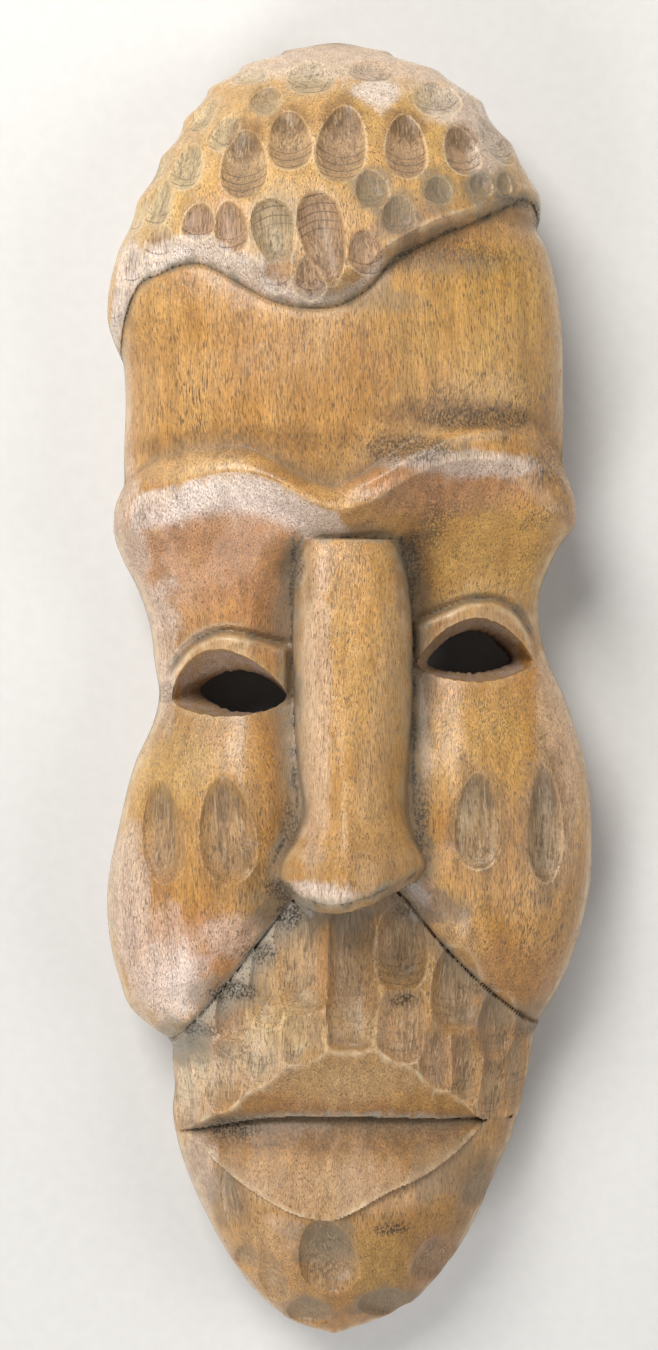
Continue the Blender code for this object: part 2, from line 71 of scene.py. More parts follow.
# How finely the sections are worked out, and how much closer the rows lie at the mask's ends
FRONT_COLUMNS = 420
HOLLOW_COLUMNS = 110
SIDE_STEPS = 10
ROWS = 760
ROW_CROWDING = 1.35
EYE_POINTS = 96

# The carving is drawn at this size, in millimetres, and scaled to the chosen sizes
DRAWN_LENGTH = 380.0
DRAWN_WIDTH = 142.75
DRAWN_DEPTH = 74.0
DRAWN_MIDDLE = -0.3

# The last row that the front's lines are read at, just inside the outline's ends
LAST_Y = 189.9

# The outline: how far it reaches left and right of the spine, as (y, reach), before its ends close
SPINE = -4.0
CROWN_CURVE = 95.0
CHIN_CURVE = 4.5
LEFT_REACH = ((190, 66), (184, 72), (178, 71.5), (163, 66.5), (142, 66.8), (128, 67.4), (113, 67.8),
              (106, 67), (100, 64.8), (95, 62.6), (88, 62), (66, 62.4), (58, 62.2), (52, 63.8),
              (45, 64.8), (37, 62.5), (30, 59), (19, 55.2), (7, 53.6), (-3, 52.3), (-10, 53.8),
              (-22, 59), (-40, 63.6), (-60, 67.15), (-73, 66.6), (-86, 63.7), (-95, 60.2), (-100, 54.8),
              (-104, 49.6), (-111, 48.4), (-118, 47.8), (-126, 48.4), (-134, 47.2), (-141, 45.2),
              (-149, 42.1), (-157, 38.2), (-164.5, 34.2), (-172, 29.2), (-177, 25.4), (-182, 20.4),
              (-186.4, 15), (-190, 11.5))
RIGHT_REACH = ((190, 62), (184, 70), (178, 73.4), (163, 70.2), (147, 70), (140, 69), (136.5, 67.8),
               (133.5, 65.9), (128, 66), (100, 66.8), (72, 67.3), (60, 67.2), (54, 68.9), (49, 70.2),
               (46, 69.3), (43, 67), (37, 63.8), (28, 60.6), (19, 60.4), (7, 63.2), (-2, 67.4),
               (-10, 70.3), (-22, 73.7), (-45, 75.5), (-60, 74.6), (-70, 72.3), (-81, 69), (-92, 64),
               (-101, 59.5), (-110, 57.9), (-118, 56.3), (-126, 54.6), (-134, 52.2), (-141, 48.9),
               (-149, 45.6), (-157, 42), (-164.5, 37.9), (-171, 33.3), (-177, 28), (-182, 22.6),
               (-186.4, 14), (-190, 7))

# The hair's gouges nick the crown's outline: how deep, from how far round the arc, and how long each nick is
NICK_DEPTH = 1.0
NICKS_START = 28.0
LEFT_NICK = 16.0
RIGHT_NICK = 19.0

# Heights over the table, as (y, z): the outline's edge, then the spine of each band of the face
EDGE = ((190, 19), (170, 20), (140, 22), (110, 24), (90, 20), (66, 20), (50, 27), (38, 21), (0, 17),
        (-40, 20), (-80, 20), (-100, 17), (-130, 15), (-160, 14.5), (-180, 17), (-190, 18))
HAIR_TOP = ((190, 20), (178, 37), (166, 48), (150, 58), (135, 64), (115, 66.5), (95, 66), (60, 66))
FOREHEAD_TOP = ((190, 50), (140, 57), (120, 59), (100, 60.5), (80, 61), (60, 59), (40, 57))
BROW_TOP = 62.5
CHEEK_TOP = ((60, 42), (30, 41), (15, 42), (5, 43.5), (-5, 46), (-15, 50), (-25, 53), (-40, 55.5),
             (-60, 55), (-80, 52), (-95, 49), (-120, 45))
MUZZLE_TOP = ((-40, 41), (-60, 42.5), (-72, 43.5), (-86, 46.5), (-100, 51), (-112, 50), (-125, 48),
              (-140, 47.5), (-150, 47), (-160, 43.5), (-170, 38.5), (-180, 32), (-190, 23))
SLIT_TOP = 35.0
LIP_STEP = 4.0
LOWEST_FRONT = ((190, 16), (170, 42), (150, 54), (120, 57), (80, 57), (60, 52), (45, 44), (30, 38),
                (15, 36), (0, 37), (-20, 41), (-45, 41), (-60, 40), (-75, 39), (-95, 41), (-110, 38),
                (-123, 34), (-135, 35), (-150, 39), (-165, 34), (-180, 22), (-190, 12))

# Lines that part the bands, as (x, y)
HAIRLINE = ((-75, 84), (-67, 96), (-64.5, 104), (-61, 112), (-54, 116), (-42, 118), (-31, 112),
            (-22, 107), (-11, 104.6), (-1.5, 106), (5.4, 110.7), (11, 117), (22, 124.3), (36, 131),
            (45, 136.4), (50, 139.2), (53.4, 138.4), (56, 133.6), (59, 127))
VALLEY = ((-70, 56), (-64, 59.5), (-57, 63.5), (-48, 66.4), (-38, 67.1), (-29, 66.5), (-21, 62.8),
          (-14, 58.8), (-5, 56), (0, 57.5), (9, 63), (19, 69.8), (26.5, 73.6), (35, 75.4), (49, 75.6),
          (58, 70.6), (68, 62))
ROLL = ((-3.4, 53.8), (6.5, 57.5), (16, 63), (26, 67.7), (36.5, 70.7), (43, 72))
CREST = ((-72, 45), (-67, 48.5), (-61, 54), (-52, 56.3), (-44, 58), (-37, 59.2), (-30, 59.3),
         (-23, 57.6), (-16, 54.2), (-10.6, 51), (-5.6, 49), (0, 49), (6.4, 51.2), (13.6, 56),
         (21, 59.8), (28.6, 62.3), (37, 63.2), (47, 62.6), (55, 59.8), (60, 54.4), (66, 48.5), (70, 45))
LID = ((-70, 4), (-58, 2), (-52, 5.5), (-48, 10.3), (-42, 14.6), (-37, 16.1), (-31, 15.6), (-26, 14.2),
       (-19, 12.5), (-5, 14), (10, 16), (18.4, 19), (26.8, 22.4), (32.3, 24.6), (38, 25.4), (45, 24.2),
       (50, 20.5), (54, 15), (60, 10), (68, 8))
CHEEK_FOOT = ((-62, -108), (-56, -106), (-50, -101.5), (-41, -92), (-32.5, -81.6), (-24, -70.5),
              (-15, -60), (-2, -52), (13, -58), (25.4, -72.5), (35.5, -83), (44.4, -90.8), (52.4, -97),
              (60, -101))
UPPER_LIP = ((-52, -131), (-44, -126), (-31, -117), (-17, -106), (-6, -99.8), (5.5, -100.6),
             (15, -105.4), (24, -111.6), (32, -117.4), (37.6, -124), (50, -125.4))
SLIT = ((-52, -131.5), (-42, -128), (-26, -124), (-3, -123), (19, -123.8), (30, -124.6), (37.6, -125),
        (50, -126))
LOWER_LIP = ((-52, -130), (-46, -131), (-37.4, -137.4), (-28, -143.4), (-20, -147.4), (-12, -150),
             (-4, -150.2), (2, -147.6), (9.2, -143.8), (22.6, -138.2), (28.2, -134.8), (34.8, -129.6),
             (37.8, -126.4), (50, -126.6))

# Half the mouth's width, where the upper lip's step over the slit has run out
MOUTH_HALF = 41.0

# The nose: its ridge line, its left and right edges and its height along y, and its front's foot
NOSE_LINE = -1.3
NOSE_HEAD = 41.5
NOSE_BASE = 36.0
NOSE_LEFT = ((45, -15.4), (40, -15.8), (34, -16.2), (0, -16.2), (-25, -15.7), (-36, -15.2), (-42, -17.6),
             (-48, -21), (-53, -21.6), (-60, -19), (-70, -17))
NOSE_RIGHT = ((45, 14), (40, 14.8), (34, 16.4), (24, 17.6), (0, 18.2), (-28, 18), (-36, 18.4), (-42, 20.2),
              (-48, 22.8), (-53, 23), (-60, 20.5), (-70, 18))
NOSE_TOP = ((45, 53), (40, 55.5), (30, 58), (15, 60.5), (0, 63), (-20, 67), (-35, 70), (-48, 73),
            (-58, 74), (-70, 74))
NOSE_FOOT = ((-30, -47), (-24, -49), (-20.7, -52.5), (-15.8, -56), (-8.6, -58.2), (-3.5, -58.1),
             (3, -56.6), (10.4, -54), (15.8, -51.9), (21.3, -50), (26, -47))

# Each eye: rim corners (x, y, x, y), rise and fall of its arcs, lean of the upper arc; then its back's
LEFT_EYE = ((-51.5, -3.2, -17.6, -2.4), 13.8, 5.6, 0.75, (-44.2, -0.6, -18.4, -2.4), 6.3, 6.0)
RIGHT_EYE = ((19.4, 7.1, 53.4, 7.7), 12.4, 6.0, 1.0, (22.8, 7.2, 49.2, 8.2), 8.8, 3.7)

# How many times deeper than in their rows the cuts of the cheeks, beard and chin are
DEEPER = 1.35

# Gouge cuts as (x, y, half width, half length, tilt in degrees, depth)
HAIR_CUTS = (
    (-28.8, 176.5, 5.4, 3.8, 0, 1.6), (-11, 173.5, 6.8, 6.4, 0, 2.6),
    (-23.6, 165.4, 4.5, 5.3, -25, 2.4), (-41.6, 164, 3.5, 6.4, -32, 1.8),
    (-35.2, 156, 4.0, 6.3, -26, 2.2), (-45.8, 146.4, 4.7, 7.5, -12, 2.6),
    (-53.6, 136.2, 3.8, 7.6, -15, 2.4), (-54.4, 150, 2.7, 6.3, -30, 1.5),
    (-60.4, 134.5, 2.6, 6.4, -26, 1.5), (-29.4, 145, 6.5, 10.8, 0, 3.4),
    (-16.8, 151.6, 6.1, 9.6, 5, 3.2), (-42, 128.8, 4.7, 5.6, -6, 2.2), (-33, 126.4, 4.5, 7.6, 8, 2.6),
    (-53.4, 124.6, 4.0, 4.8, -15, 2.0), (-61.6, 118.8, 2.9, 5.6, 0, 1.8), (-67, 109, 2.4, 6.4, 0, 1.4),
    (-21, 124, 5.5, 9.8, 192, 3.4), (-20.2, 113.4, 3.8, 5.2, 6, 1.8),
    (-7.6, 122.4, 6.0, 13.4, 192, 3.6), (-10.8, 112.2, 4.3, 6.2, 0, 2.2),
    (-2.4, 150.4, 6.9, 12.4, -6, 3.6), (15.4, 150, 5.7, 10.4, 2, 3.0), (31.2, 150.2, 5.0, 8.1, 12, 2.8),
    (41.6, 156.4, 4.4, 8.8, 28, 1.8), (24.8, 167.6, 7.0, 6.2, 20, 2.4), (6.2, 176.2, 6.5, 4.6, 0, 2.0),
    (5.7, 136.4, 4.4, 5.6, 14, 2.4), (24.2, 137, 3.9, 4.2, 0, 2.0), (36.5, 140.2, 3.5, 3.5, 0, 1.8),
    (43.5, 141.8, 2.3, 3.9, 0, 1.6), (13.2, 129.2, 4.5, 5.5, 0, 2.4), (4.2, 118.8, 4.9, 6.2, 8, 2.4),
)
CHEEK_CUTS = ((-53, -41, 6.2, 14.6, 5, 2.6), (-34.5, -40, 7.8, 15.2, 6, 3.0),
              (36, -37.5, 6.6, 13.6, 0, 2.4), (55.5, -39, 5.2, 16.6, 0, 2.2))
BEARD_FLUTES = (
    (0.7, -80, 7.2, 22.0, 0, 3.4), (-0.2, -97, 6.4, 5.8, 0, 3.4), (-14.0, -77, 7.9, 15.5, 0, 3.0),
    (-23.4, -84.5, 5.2, 12.5, -6, 2.4),
)
BEARD_BOWLS = (
    (-32.2, -92.0, 5.8, 8.8, 0, 3.4), (-12.4, -98.5, 7.2, 8.8, 4, 1.7), (-26.0, -101.5, 6.2, 11.6, -4, 2.5),
    (-35.8, -110.5, 5.4, 12.0, -6, 2.2), (-43.0, -105, 4.4, 10.4, 0, 2.2), (-47.8, -115, 3.8, 15.0, 0, 1.7),
    (14.6, -74.0, 7.6, 12.4, 0, 3.0), (15.2, -94.5, 8.0, 11.6, 0, 2.0), (30.2, -86, 7.2, 12.4, 0, 3.0),
    (24.4, -104.5, 5.2, 11.6, 6, 1.7), (33.2, -107, 5.2, 12.6, 4, 1.6), (42.4, -97.4, 6.0, 10.4, 0, 2.5),
    (41.8, -115, 5.2, 12.6, 0, 1.6), (48.4, -110, 4.0, 15.0, 0, 1.6),
)
CHIN_CUTS = (
    (-6.4, -162, 8.2, 12.4, 12, 3.0), (-11.6, -181.2, 6.4, 5.6, 0, 2.2),
    (-29.5, -165.4, 3.8, 5.0, -8, 1.5), (24.4, -165.6, 6.4, 7.8, -10, 2.2),
    (10.6, -178.6, 7.8, 5.4, -16, 2.2), (37.6, -146, 5.0, 6.0, -12, 1.7),
    (-33, -146.5, 4.4, 9.6, 12, 1.3), (-22.4, -170, 4.0, 9.4, 14, 1.0),
)

# Kinds of cut as (how squarely its ends close, how much it widens towards its foot)
FLUTE = (5, 0.08)
BOWL = (2.2, 0.22)
SHALLOW = (2.6, 0.12)

# How far from a cut's rim and from a seam the finish looks, and the widths of ground that the relief is
# measured against, in millimetres
RIM_REACH = 4.0
SEAM_REACH = 9.0
GROUNDS = (0.7, 2.4, 4.5)

# Points closer than this are merged, and the carving stays this far inside the frame's box, in metres
HAIR_BREADTH = 1e-6

# Edges that turn by more degrees than this stay sharp
SHARP_ANGLE = 42

# Small roughness, in metres: of the side walls, and the depth of an adze stroke in the hollow
SIDE_ROUGHNESS = 0.0004
ADZE_DEPTH = 0.0009

# The wood taken out of an eye: how far it reaches beyond both faces in metres, how many rings its walls have,
# and how frayed its rim is in millimetres
PLUG_REACH = 0.02
PLUG_RINGS = 7
FRAY = 0.25

# Where the finish changes, in drawn millimetres: the nose's wings end, the left cheek's dust turns to pale
# lint, the hair's patches begin, the beard's dust ends, and the line that parts the brow's two facets
WING_REACH = 21
LINT_SIDE = -10
HAIR_START = 78
DUST_END = -112
FACET_LINE = (-4.8, 49.2, 0.667)

# Noise in the wood as (size across the grain, size along it, detail, roughness), sizes in metres
SWAY = (0.045, 0.090, 1.0, 0.5)
FIBRES = (0.00038, 0.0042, 3.0, 0.6)
TORN = (0.00075, 0.0140, 2.0, 0.6)
BANDS = (0.0032, 0.085, 3.0, 0.55)
PORE = (0.00034, 0.0026, 1.5, 0.5)
CLOUDS = (0.020, 0.034, 4.0, 0.55)
MOTTLE = (0.0050, 0.0080, 3.0, 0.6)
SPECKS = (0.00060, 0.0009, 3.0, 0.65)
PAPER_TOOTH = (0.004, 0.004, 3.0, 0.5)

# How far the grain sways to the side, and how deep its bump is, in metres
SWAY_REACH = 0.012
BUMP_DEPTH = 0.00045

# Soft lights as (name, place, size, colour), then the camera's place over the table and its lens
LIGHTS = (
    ("window", (-0.93, -1.29, 1.00), 0.72, (0.97, 0.98, 1.0)),
    ("ceiling", (-0.42, 0.68, 0.86), 0.60, (1.0, 0.98, 0.95)),
    ("doorway", (1.05, -0.10, 0.80), 0.80, (1.0, 0.98, 0.96)),
)
ROOM_COLOUR = (0.96, 0.98, 1.0)
CAMERA_X = -0.0056
CAMERA_Y = 0.0034
FOCAL_LENGTH = 52.4
SENSOR_HEIGHT = 36

# Patches of the finish as (x, y, half width, half height, strength)
RUST_PATCHES = (
    (-40, 38, 28, 16, 0.9), (-50, 20, 10, 20, 0.6), (24, 56, 22, 7, 0.9), (-42, -76, 24, 12, 0.9),
    (-58, -60, 6, 28, 0.4), (-4, -122, 36, 5, 0.4), (50, -82, 14, 8, 0.5), (-22, 20, 8, 12, 0.8),
    (-42, 107, 24, 5, 0.8), (-34, -84, 16, 8, 0.6), (-40, 135, 6, 8, 0.8), (-22, 106, 16, 5, 0.7),
    (-56, 110, 9, 6, 0.6), (-14, -78, 7, 12, 0.6), (-36, -90, 6, 9, 0.7), (16, -62, 10, 8, 0.5),
    (16, -96, 7, 9, 0.4), (42, -96, 7, 10, 0.6), (24, -166, 7, 8, 0.6), (22, 126, 14, 5, 0.7),
)
MAUVE_PATCHES = (
    (-42, 129, 6, 7, 1.0), (-33, 126, 6, 9, 0.9), (-53.5, 125, 5, 6, 0.8), (-61.5, 119, 4, 7, 0.8),
    (-7.6, 124, 7, 12, 0.7), (-10.8, 112, 6, 7, 0.8), (4.2, 118, 7, 7, 0.8), (-2.4, 154, 7, 10, 0.5),
    (24, 52, 20, 4, 0.8), (-20, 113, 5, 6, 0.7), (31, 150, 6, 8, 0.5), (15, 150, 6, 10, 0.4),
    (22, -108, 9, 8, 0.6), (30, 128, 22, 3, 0.6), (24.4, -165, 7, 8, 0.6), (38, -146, 6, 7, 0.5),
)
# Patches of dark old varnish. Those along the mouth's slit are partly painted shade of the upper lip's step,
# and the wide ones over the beard, lips and chin darken the lower face.
VARNISH_AND_SHADE_PATCHES = (
    (-4, -128.5, 38, 4.6, 1.0), (-4, -120, 34, 4.6, 0.5), (8, -166, 11, 9, 0.6), (-15, 30, 4, 12, 0.9),
    (-4, -137, 30, 10, 0.45), (26, -156, 14, 12, 0.35), (2, -178, 20, 10, 0.3), (2, -86, 8, 16, 0.3),
    (18, 32, 5, 14, 0.9), (-30, 68, 30, 4, 0.7), (30, 76, 26, 4, 0.7), (-12, 60, 12, 4, 0.5),
    (22, -140, 16, 5, 0.7), (-24, -148, 10, 4, 0.5), (-29.4, 153, 5, 6, 0.9), (-16.8, 158, 5, 5, 0.7),
    (-2.4, 160, 5, 6, 0.7), (15.4, 157, 5, 5, 0.9), (31.2, 155, 4, 4, 0.9), (-23.6, 168, 4, 3, 0.6),
    (-19, -20, 3, 30, 0.6), (20, -16, 3, 26, 0.5), (-12, -62, 12, 4, 0.8), (16, -62, 14, 5, 0.9),
    (44, -94, 14, 6, 0.5), (28, -84, 10, 6, 0.4), (-28, 112, 30, 3, 0.3), (-44, 12, 16, 4, 0.4),
    (38, 22, 16, 3, 0.5), (-20, 132, 7, 5, 0.3), (48, 134, 8, 4, 0.7), (10, -120, 5, 8, 0.4),
    (-34.5, -40, 9, 16, 0.55), (-53, -41, 7, 15, 0.45), (36, -38, 8, 14, 0.9), (55, -38, 7, 18, 0.8),
    (-44, -14, 13, 12, 0.4), (24, -96, 34, 24, 0.5), (-4, -136, 44, 24, 0.5), (16, -165, 26, 18, 0.6),
    (-22, -170, 18, 18, 0.3), (44, 150, 14, 20, 0.35), (-2, 94, 30, 18, 0.22), (4, -48, 13, 8, 0.3),
    (-38, 14, 13, 4, 0.3), (38, 17, 14, 5, 0.5),
)
GOLD_PATCHES = (
    (-45, 136, 8, 12, 1.0), (-49, -24, 10, 10, 0.9), (44, 100, 14, 22, 0.7), (8, -164, 10, 10, 0.9),
    (-24, 136, 8, 6, 0.7), (25, 104, 20, 12, 0.5), (5, 20, 10, 30, 0.3), (24, 156, 10, 8, 0.6),
    (22, -84, 10, 10, 0.4), (-22, -84, 8, 12, 0.6), (40, 36, 18, 14, 0.7), (34, -20, 20, 14, 0.5),
    (24, -116, 12, 6, 0.4), (-56, 138, 5, 14, 0.7), (-12, 138, 12, 5, 0.7), (8, 162, 14, 6, 0.5),
    (-60, -30, 5, 20, 0.6),
)
# Pale patches: partly varnish gone pale, partly painted sheen and highlights on the left side, the hairline's
# band, the left cheek and the hair's top.
PALE_AND_SHEEN_PATCHES = (
    (10, 182, 46, 9, 0.55), (42, 166, 18, 12, 0.8), (-60, 106, 7, 15, 1.0), (-50, 118, 11, 5, 1.0),
    (-36, 115, 12, 4, 0.9), (-24, 108.5, 10, 3, 0.6), (-64, 40, 6, 20, 0.5), (-52, -84, 10, 12, 0.7),
    (-64, -60, 7, 18, 0.6), (-8, -56, 8, 3, 0.9), (-54, -72, 9, 10, 0.35), (-10, -8, 4, 40, 0.35),
    (-30, -106, 12, 8, 0.2), (-46, -120, 6, 16, 0.3), (-44, -142, 5, 14, 0.7), (34, 62, 20, 3, 0.7),
    (0, -142, 30, 6, 0.15), (60, -20, 6, 30, 0.3), (-56, 10, 6, 20, 0.6), (8, 168, 6, 5, 1.0),
    (38, 152, 5, 10, 0.8), (-32, -70, 8, 6, 0.4),
)
PORE_PATCHES = (
    (-47, 84, 8, 14, 1.0), (-30, 92, 9, 14, 0.5), (29, 118, 16, 8, 0.7), (48, 80, 16, 10, 1.0),
    (30, 78, 16, 6, 0.8), (-24, 74, 12, 8, 0.5), (20, 46, 14, 12, 0.8), (54, -62, 10, 16, 0.9),
    (36, -62, 12, 16, 0.6), (0, 34, 8, 10, 0.6), (-56, 44, 10, 8, 0.5), (8, 96, 14, 14, 0.4),
    (-60, 100, 6, 8, 0.5), (56, 52, 8, 10, 0.9), (30, -8, 18, 10, 0.7), (10, -10, 8, 24, 0.5),
    (-30, -52, 12, 8, 0.6), (54, 30, 8, 14, 0.5),
)
POLISH_PATCHES = (
    (-51, -84, 10, 16, 1.0), (-58, 108, 8, 14, 1.0), (-48, 117, 12, 5, 1.0), (-34, 114, 12, 4, 0.8),
    (10, 180, 44, 8, 0.6), (-8, -57, 9, 3, 1.0), (-9, 10, 5, 40, 0.5), (-40, -146, 6, 10, 0.6),
)
DULL_PATCHES = (
    (-34, 28, 22, 15, 0.7), (42, 36, 20, 18, 0.5), (0, 90, 50, 20, 0.2),
    (-4, -136, 44, 22, 1.0), (-4, -114, 40, 12, 0.8), (0, -90, 50, 24, 0.5), (14, -165, 30, 20, 0.7),
    (-10, 140, 34, 24, 0.4), (-40, -40, 24, 18, 0.4), (45, -40, 20, 20, 0.6),
)
OLIVE_PATCHES = (
    (-46, 147, 6, 9, 1.0), (-54, 137, 5, 9, 1.0), (-41, 164, 5, 8, 0.9), (-35, 156, 5, 8, 0.9),
    (-24, 165, 6, 7, 0.7), (-11, 173, 9, 8, 0.8), (-55, 150, 5, 8, 0.9), (-61, 134, 4, 9, 0.9),
    (-29, 176, 7, 5, 0.8), (-52, -20, 12, 10, 0.4), (36, -38, 7, 14, 0.9), (55, -38, 6, 17, 0.9),
    (0, -98, 8, 7, 0.7), (-24, -102, 8, 10, 0.6), (-46, -112, 6, 16, 0.8), (-44, 62, 16, 5, 0.6),
    (-38, 12, 12, 4, 0.6), (-12, -97, 7, 9, 0.8), (-4, -107, 14, 6, 0.6), (25, 168, 8, 7, 0.6),
    (-21, 126, 6, 9, 0.7), (41, 157, 5, 9, 0.6), (0, -142, 24, 8, 0.4), (-2, -112, 18, 6, 0.9),
)
DUST_PATCHES = (
    (6.3, 136.6, 5, 6, 0.9), (13.2, 129, 5.5, 6, 0.9), (24.1, 136, 4.5, 5, 1.0), (35.5, 138, 4, 4, 1.0),
    (42.3, 139, 3, 4, 1.0),
    (13, 129, 6, 7, 1.0), (5.7, 136.5, 5, 6, 1.0), (24.2, 137, 4.6, 5, 1.0), (36.5, 140, 4.2, 4.2, 1.0),
    (43.5, 142, 2.8, 4.4, 1.0), (-17, -63, 10, 6, 0.9), (20, -62, 12, 6, 0.6), (-34, -87, 12, 5, 0.8),
    (4, 107, 14, 3, 0.6), (-48, -103, 8, 7, 0.9), (-21, 126, 5, 9, 0.5), (-12, -181, 7, 5, 0.7),
    (10, -179, 9, 5, 0.9), (-7, -158, 8, 7, 0.8), (30, -138, 12, 7, 0.6), (-32, -125, 9, 3, 0.8),
    (18, 64, 16, 5, 0.4), (0, -72, 6, 8, 0.3), (38, -146, 6, 6, 0.5), (26, 118, 14, 3, 0.6),
    (44, -94, 16, 3, 0.7), (-36, -146, 4, 9, 0.6),
)
GRIME_SPOTS = (
    (-33.5, -127.0, 7.5, 2.8, 1.0), (15.4, -88.5, 3.4, 1.6, 1.0), (12, -153.6, 4.6, 1.8, 0.9),
    (-15, 33, 2.0, 6, 0.8), (18, 35, 2.4, 8, 0.8), (-17, -38, 2.4, 7, 0.7), (20, -36, 2, 8, 0.8),
    (-20, -57, 4, 3, 0.9), (-25.5, -75.5, 5, 2.2, 0.9), (-33.5, -86.5, 6, 2.6, 1.0),
    (-43, -97.5, 5, 2.2, 0.8), (-17.5, -65, 4, 3.4, 1.0), (16.5, -63, 4, 2.4, 0.7),
    (36, -86, 6, 1.6, 0.6), (54, -100, 6, 1.6, 0.6), (16, 66, 12, 3.4, 0.75), (36, 75, 14, 3.0, 0.75),
    (58, 64, 5, 6, 0.6), (30, -114, 2.4, 1.6, 0.6), (20, 6, 3, 2.4, 0.7), (-54, -2, 4, 2.4, 0.6),
    (14, -58, 5, 2.4, 0.6), (-16, -2, 2.0, 4, 0.5), (54.5, 136.5, 1.8, 3.4, 1.0),
    (49, 137.6, 6, 1.4, 0.8), (24, 46, 3, 6, 0.6), (30, 121, 14, 3, 0.5),
)


def flowing(stations, at):
    """A smooth curve through the stations: cubic pieces whose slopes follow the neighbouring stations."""
    knots, values = np.array(sorted(stations), float).T
    slopes = np.gradient(values, knots)
    at = np.clip(at, knots[0], knots[-1])
    i = np.clip(np.searchsorted(knots, at) - 1, 0, len(knots) - 2)
    span = knots[i + 1] - knots[i]
    t = (at - knots[i]) / span
    rise = values[i + 1] - values[i]
    bend_in = slopes[i] * span - rise
    bend_out = rise - slopes[i + 1] * span
    return values[i] + t * rise + t * (1 - t) * ((1 - t) * bend_in + t * bend_out)


def ease(t):
    """A soft step: 0 up to 0, 1 from 1 on."""
    t = np.clip(t, 0, 1)
    return t * t * (3 - 2 * t)


def ripple(x, y, length, turn=0.0):
    """Even, aimless waves between -1 and 1: the mean of sines of about one length in seven directions."""
    total = 0.0
    for k in range(7):
        way = turn + 2.4 * k
        step = 2 * np.pi / length * (0.75 + 0.09 * k)
        total = total + np.sin(step * (x * np.cos(way) + y * np.sin(way)) + 1.7 * k * k)
    return total / 4


def outline(y):
    """Left and right x of the outline at y. Both ends close along an arc, and gouges scallop the crown's."""
    up = np.clip((y - DRAWN_LENGTH / 2 + CROWN_CURVE) / CROWN_CURVE, 0, 1)
    down = np.clip((-y - DRAWN_LENGTH / 2 + CHIN_CURVE) / CHIN_CURVE, 0, 1)
    closing = np.sqrt(1 - up**2) * np.sqrt(1 - down**2)
    far = CROWN_CURVE * np.arcsin(up)
    nick = NICK_DEPTH * ease((far - NICKS_START) / 12) * closing / np.maximum(closing, 0.3)**2
    left = flowing(LEFT_REACH, y) * closing - nick * np.abs(np.sin(np.pi * far / LEFT_NICK))
    right = flowing(RIGHT_REACH, y) * closing - nick * np.abs(np.sin(np.pi * (far + 7) / RIGHT_NICK))
    return SPINE - left, SPINE + right


def across(x, y):
    """Share of the way from the spine to the outline: -1 at the left edge, 1 at the right."""
    left, right = outline(y)
    reach = np.where(x < SPINE, SPINE - left, right - SPINE)
    return np.clip((x - SPINE) / np.maximum(reach, 1e-6), -1, 1)


def log(x, y, top, power):
    """A split log's section, from the edge height up to top on the spine; a higher power is squarer."""
    edge = flowing(EDGE, y)
    return edge + (top - edge) * (1 - np.abs(across(x, y))**power)**(1 / power)


def past(line, x, y):
    """Distance above a parting line, measured square to it."""
    slope = flowing(line, x + 0.5) - flowing(line, x - 0.5)
    return (y - flowing(line, x)) / np.sqrt(1 + slope**2)


def gouged(x, y, cuts, kind=BOWL):
    """The cuts' depth, each point's place along its cut and how far it is inside the rim, in millimetres.

    A cut is a dish whose ends close by a power, 1 - aside^2 - along^power, and widens towards its foot.
    Lines of equal place are arcs that sag in the middle, as the chisel's edge leaves them.
    """
    squareness, taper = kind
    depth = np.zeros(x.shape)
    place = np.zeros(x.shape)
    inside = np.full(x.shape, -9.0)
    second = np.full(x.shape, -9.0)
    for middle_x, middle_y, half, length, tilt, deepest in cuts:
        turn = np.radians(tilt)
        dx = x - middle_x
        dy = y - middle_y
        along = (dy * np.cos(turn) - dx * np.sin(turn)) / length
        aside = (dx * np.cos(turn) + dy * np.sin(turn)) / (half * (1 - taper * np.clip(along, -1, 1)))
        scooped = deepest * (1 - 0.3 * np.clip(along, -1, 1))
        bowl = scooped * np.clip(1 - aside**2 - np.abs(along)**squareness, 0, 1)**0.7
        deeper = bowl > depth
        place = np.where(deeper, along * length - 0.4 * half * aside**2, place)
        depth = np.where(deeper, bowl, depth)
        level = aside**2 + np.abs(along)**squareness
        fall_along = squareness * np.minimum(np.abs(along), 1.5)**(squareness - 1) / length
        steep = np.hypot(2 * aside / half, fall_along)
        gap = (1 - level) / np.maximum(steep, 0.8 / half)
        second = np.maximum(second, np.minimum(gap, inside))
        inside = np.maximum(inside, gap)
    return depth, place, np.clip(inside - np.maximum(second, 0), -RIM_REACH, RIM_REACH)


def almond(x, corners, rise, fall, lean=1.0):
    """Upper and lower edge of an eye at x: the line between its corners, arched up and down."""
    x0, y0, x1, y1 = corners
    t = np.clip((x - x0) / (x1 - x0), 0, 1)
    line = y0 + (y1 - y0) * t
    return line + rise * np.sin(np.pi * t**lean)**0.75, line - fall * np.sqrt(np.sin(np.pi * t))


def lids(x, y):
    """The raised band over each eye, from its crease down to the rim."""
    crease = past(LID, x, y)
    raised = np.zeros(x.shape)
    for eye in (LEFT_EYE, RIGHT_EYE):
        x0, y0, x1, y1 = eye[0]
        middle = y0 + (y1 - y0) * np.clip((x - x0) / (x1 - x0), 0, 1)
        within = ease((x - x0 + 3.5) / 5) * ease((x1 + 1.5 - x) / 3)
        raised += 2.6 * within * ease(-crease / 2.2) * ease((y - middle + 3) / 5)
        raised -= 1.2 * within * np.exp(-(crease / 1.3)**2)
    return raised


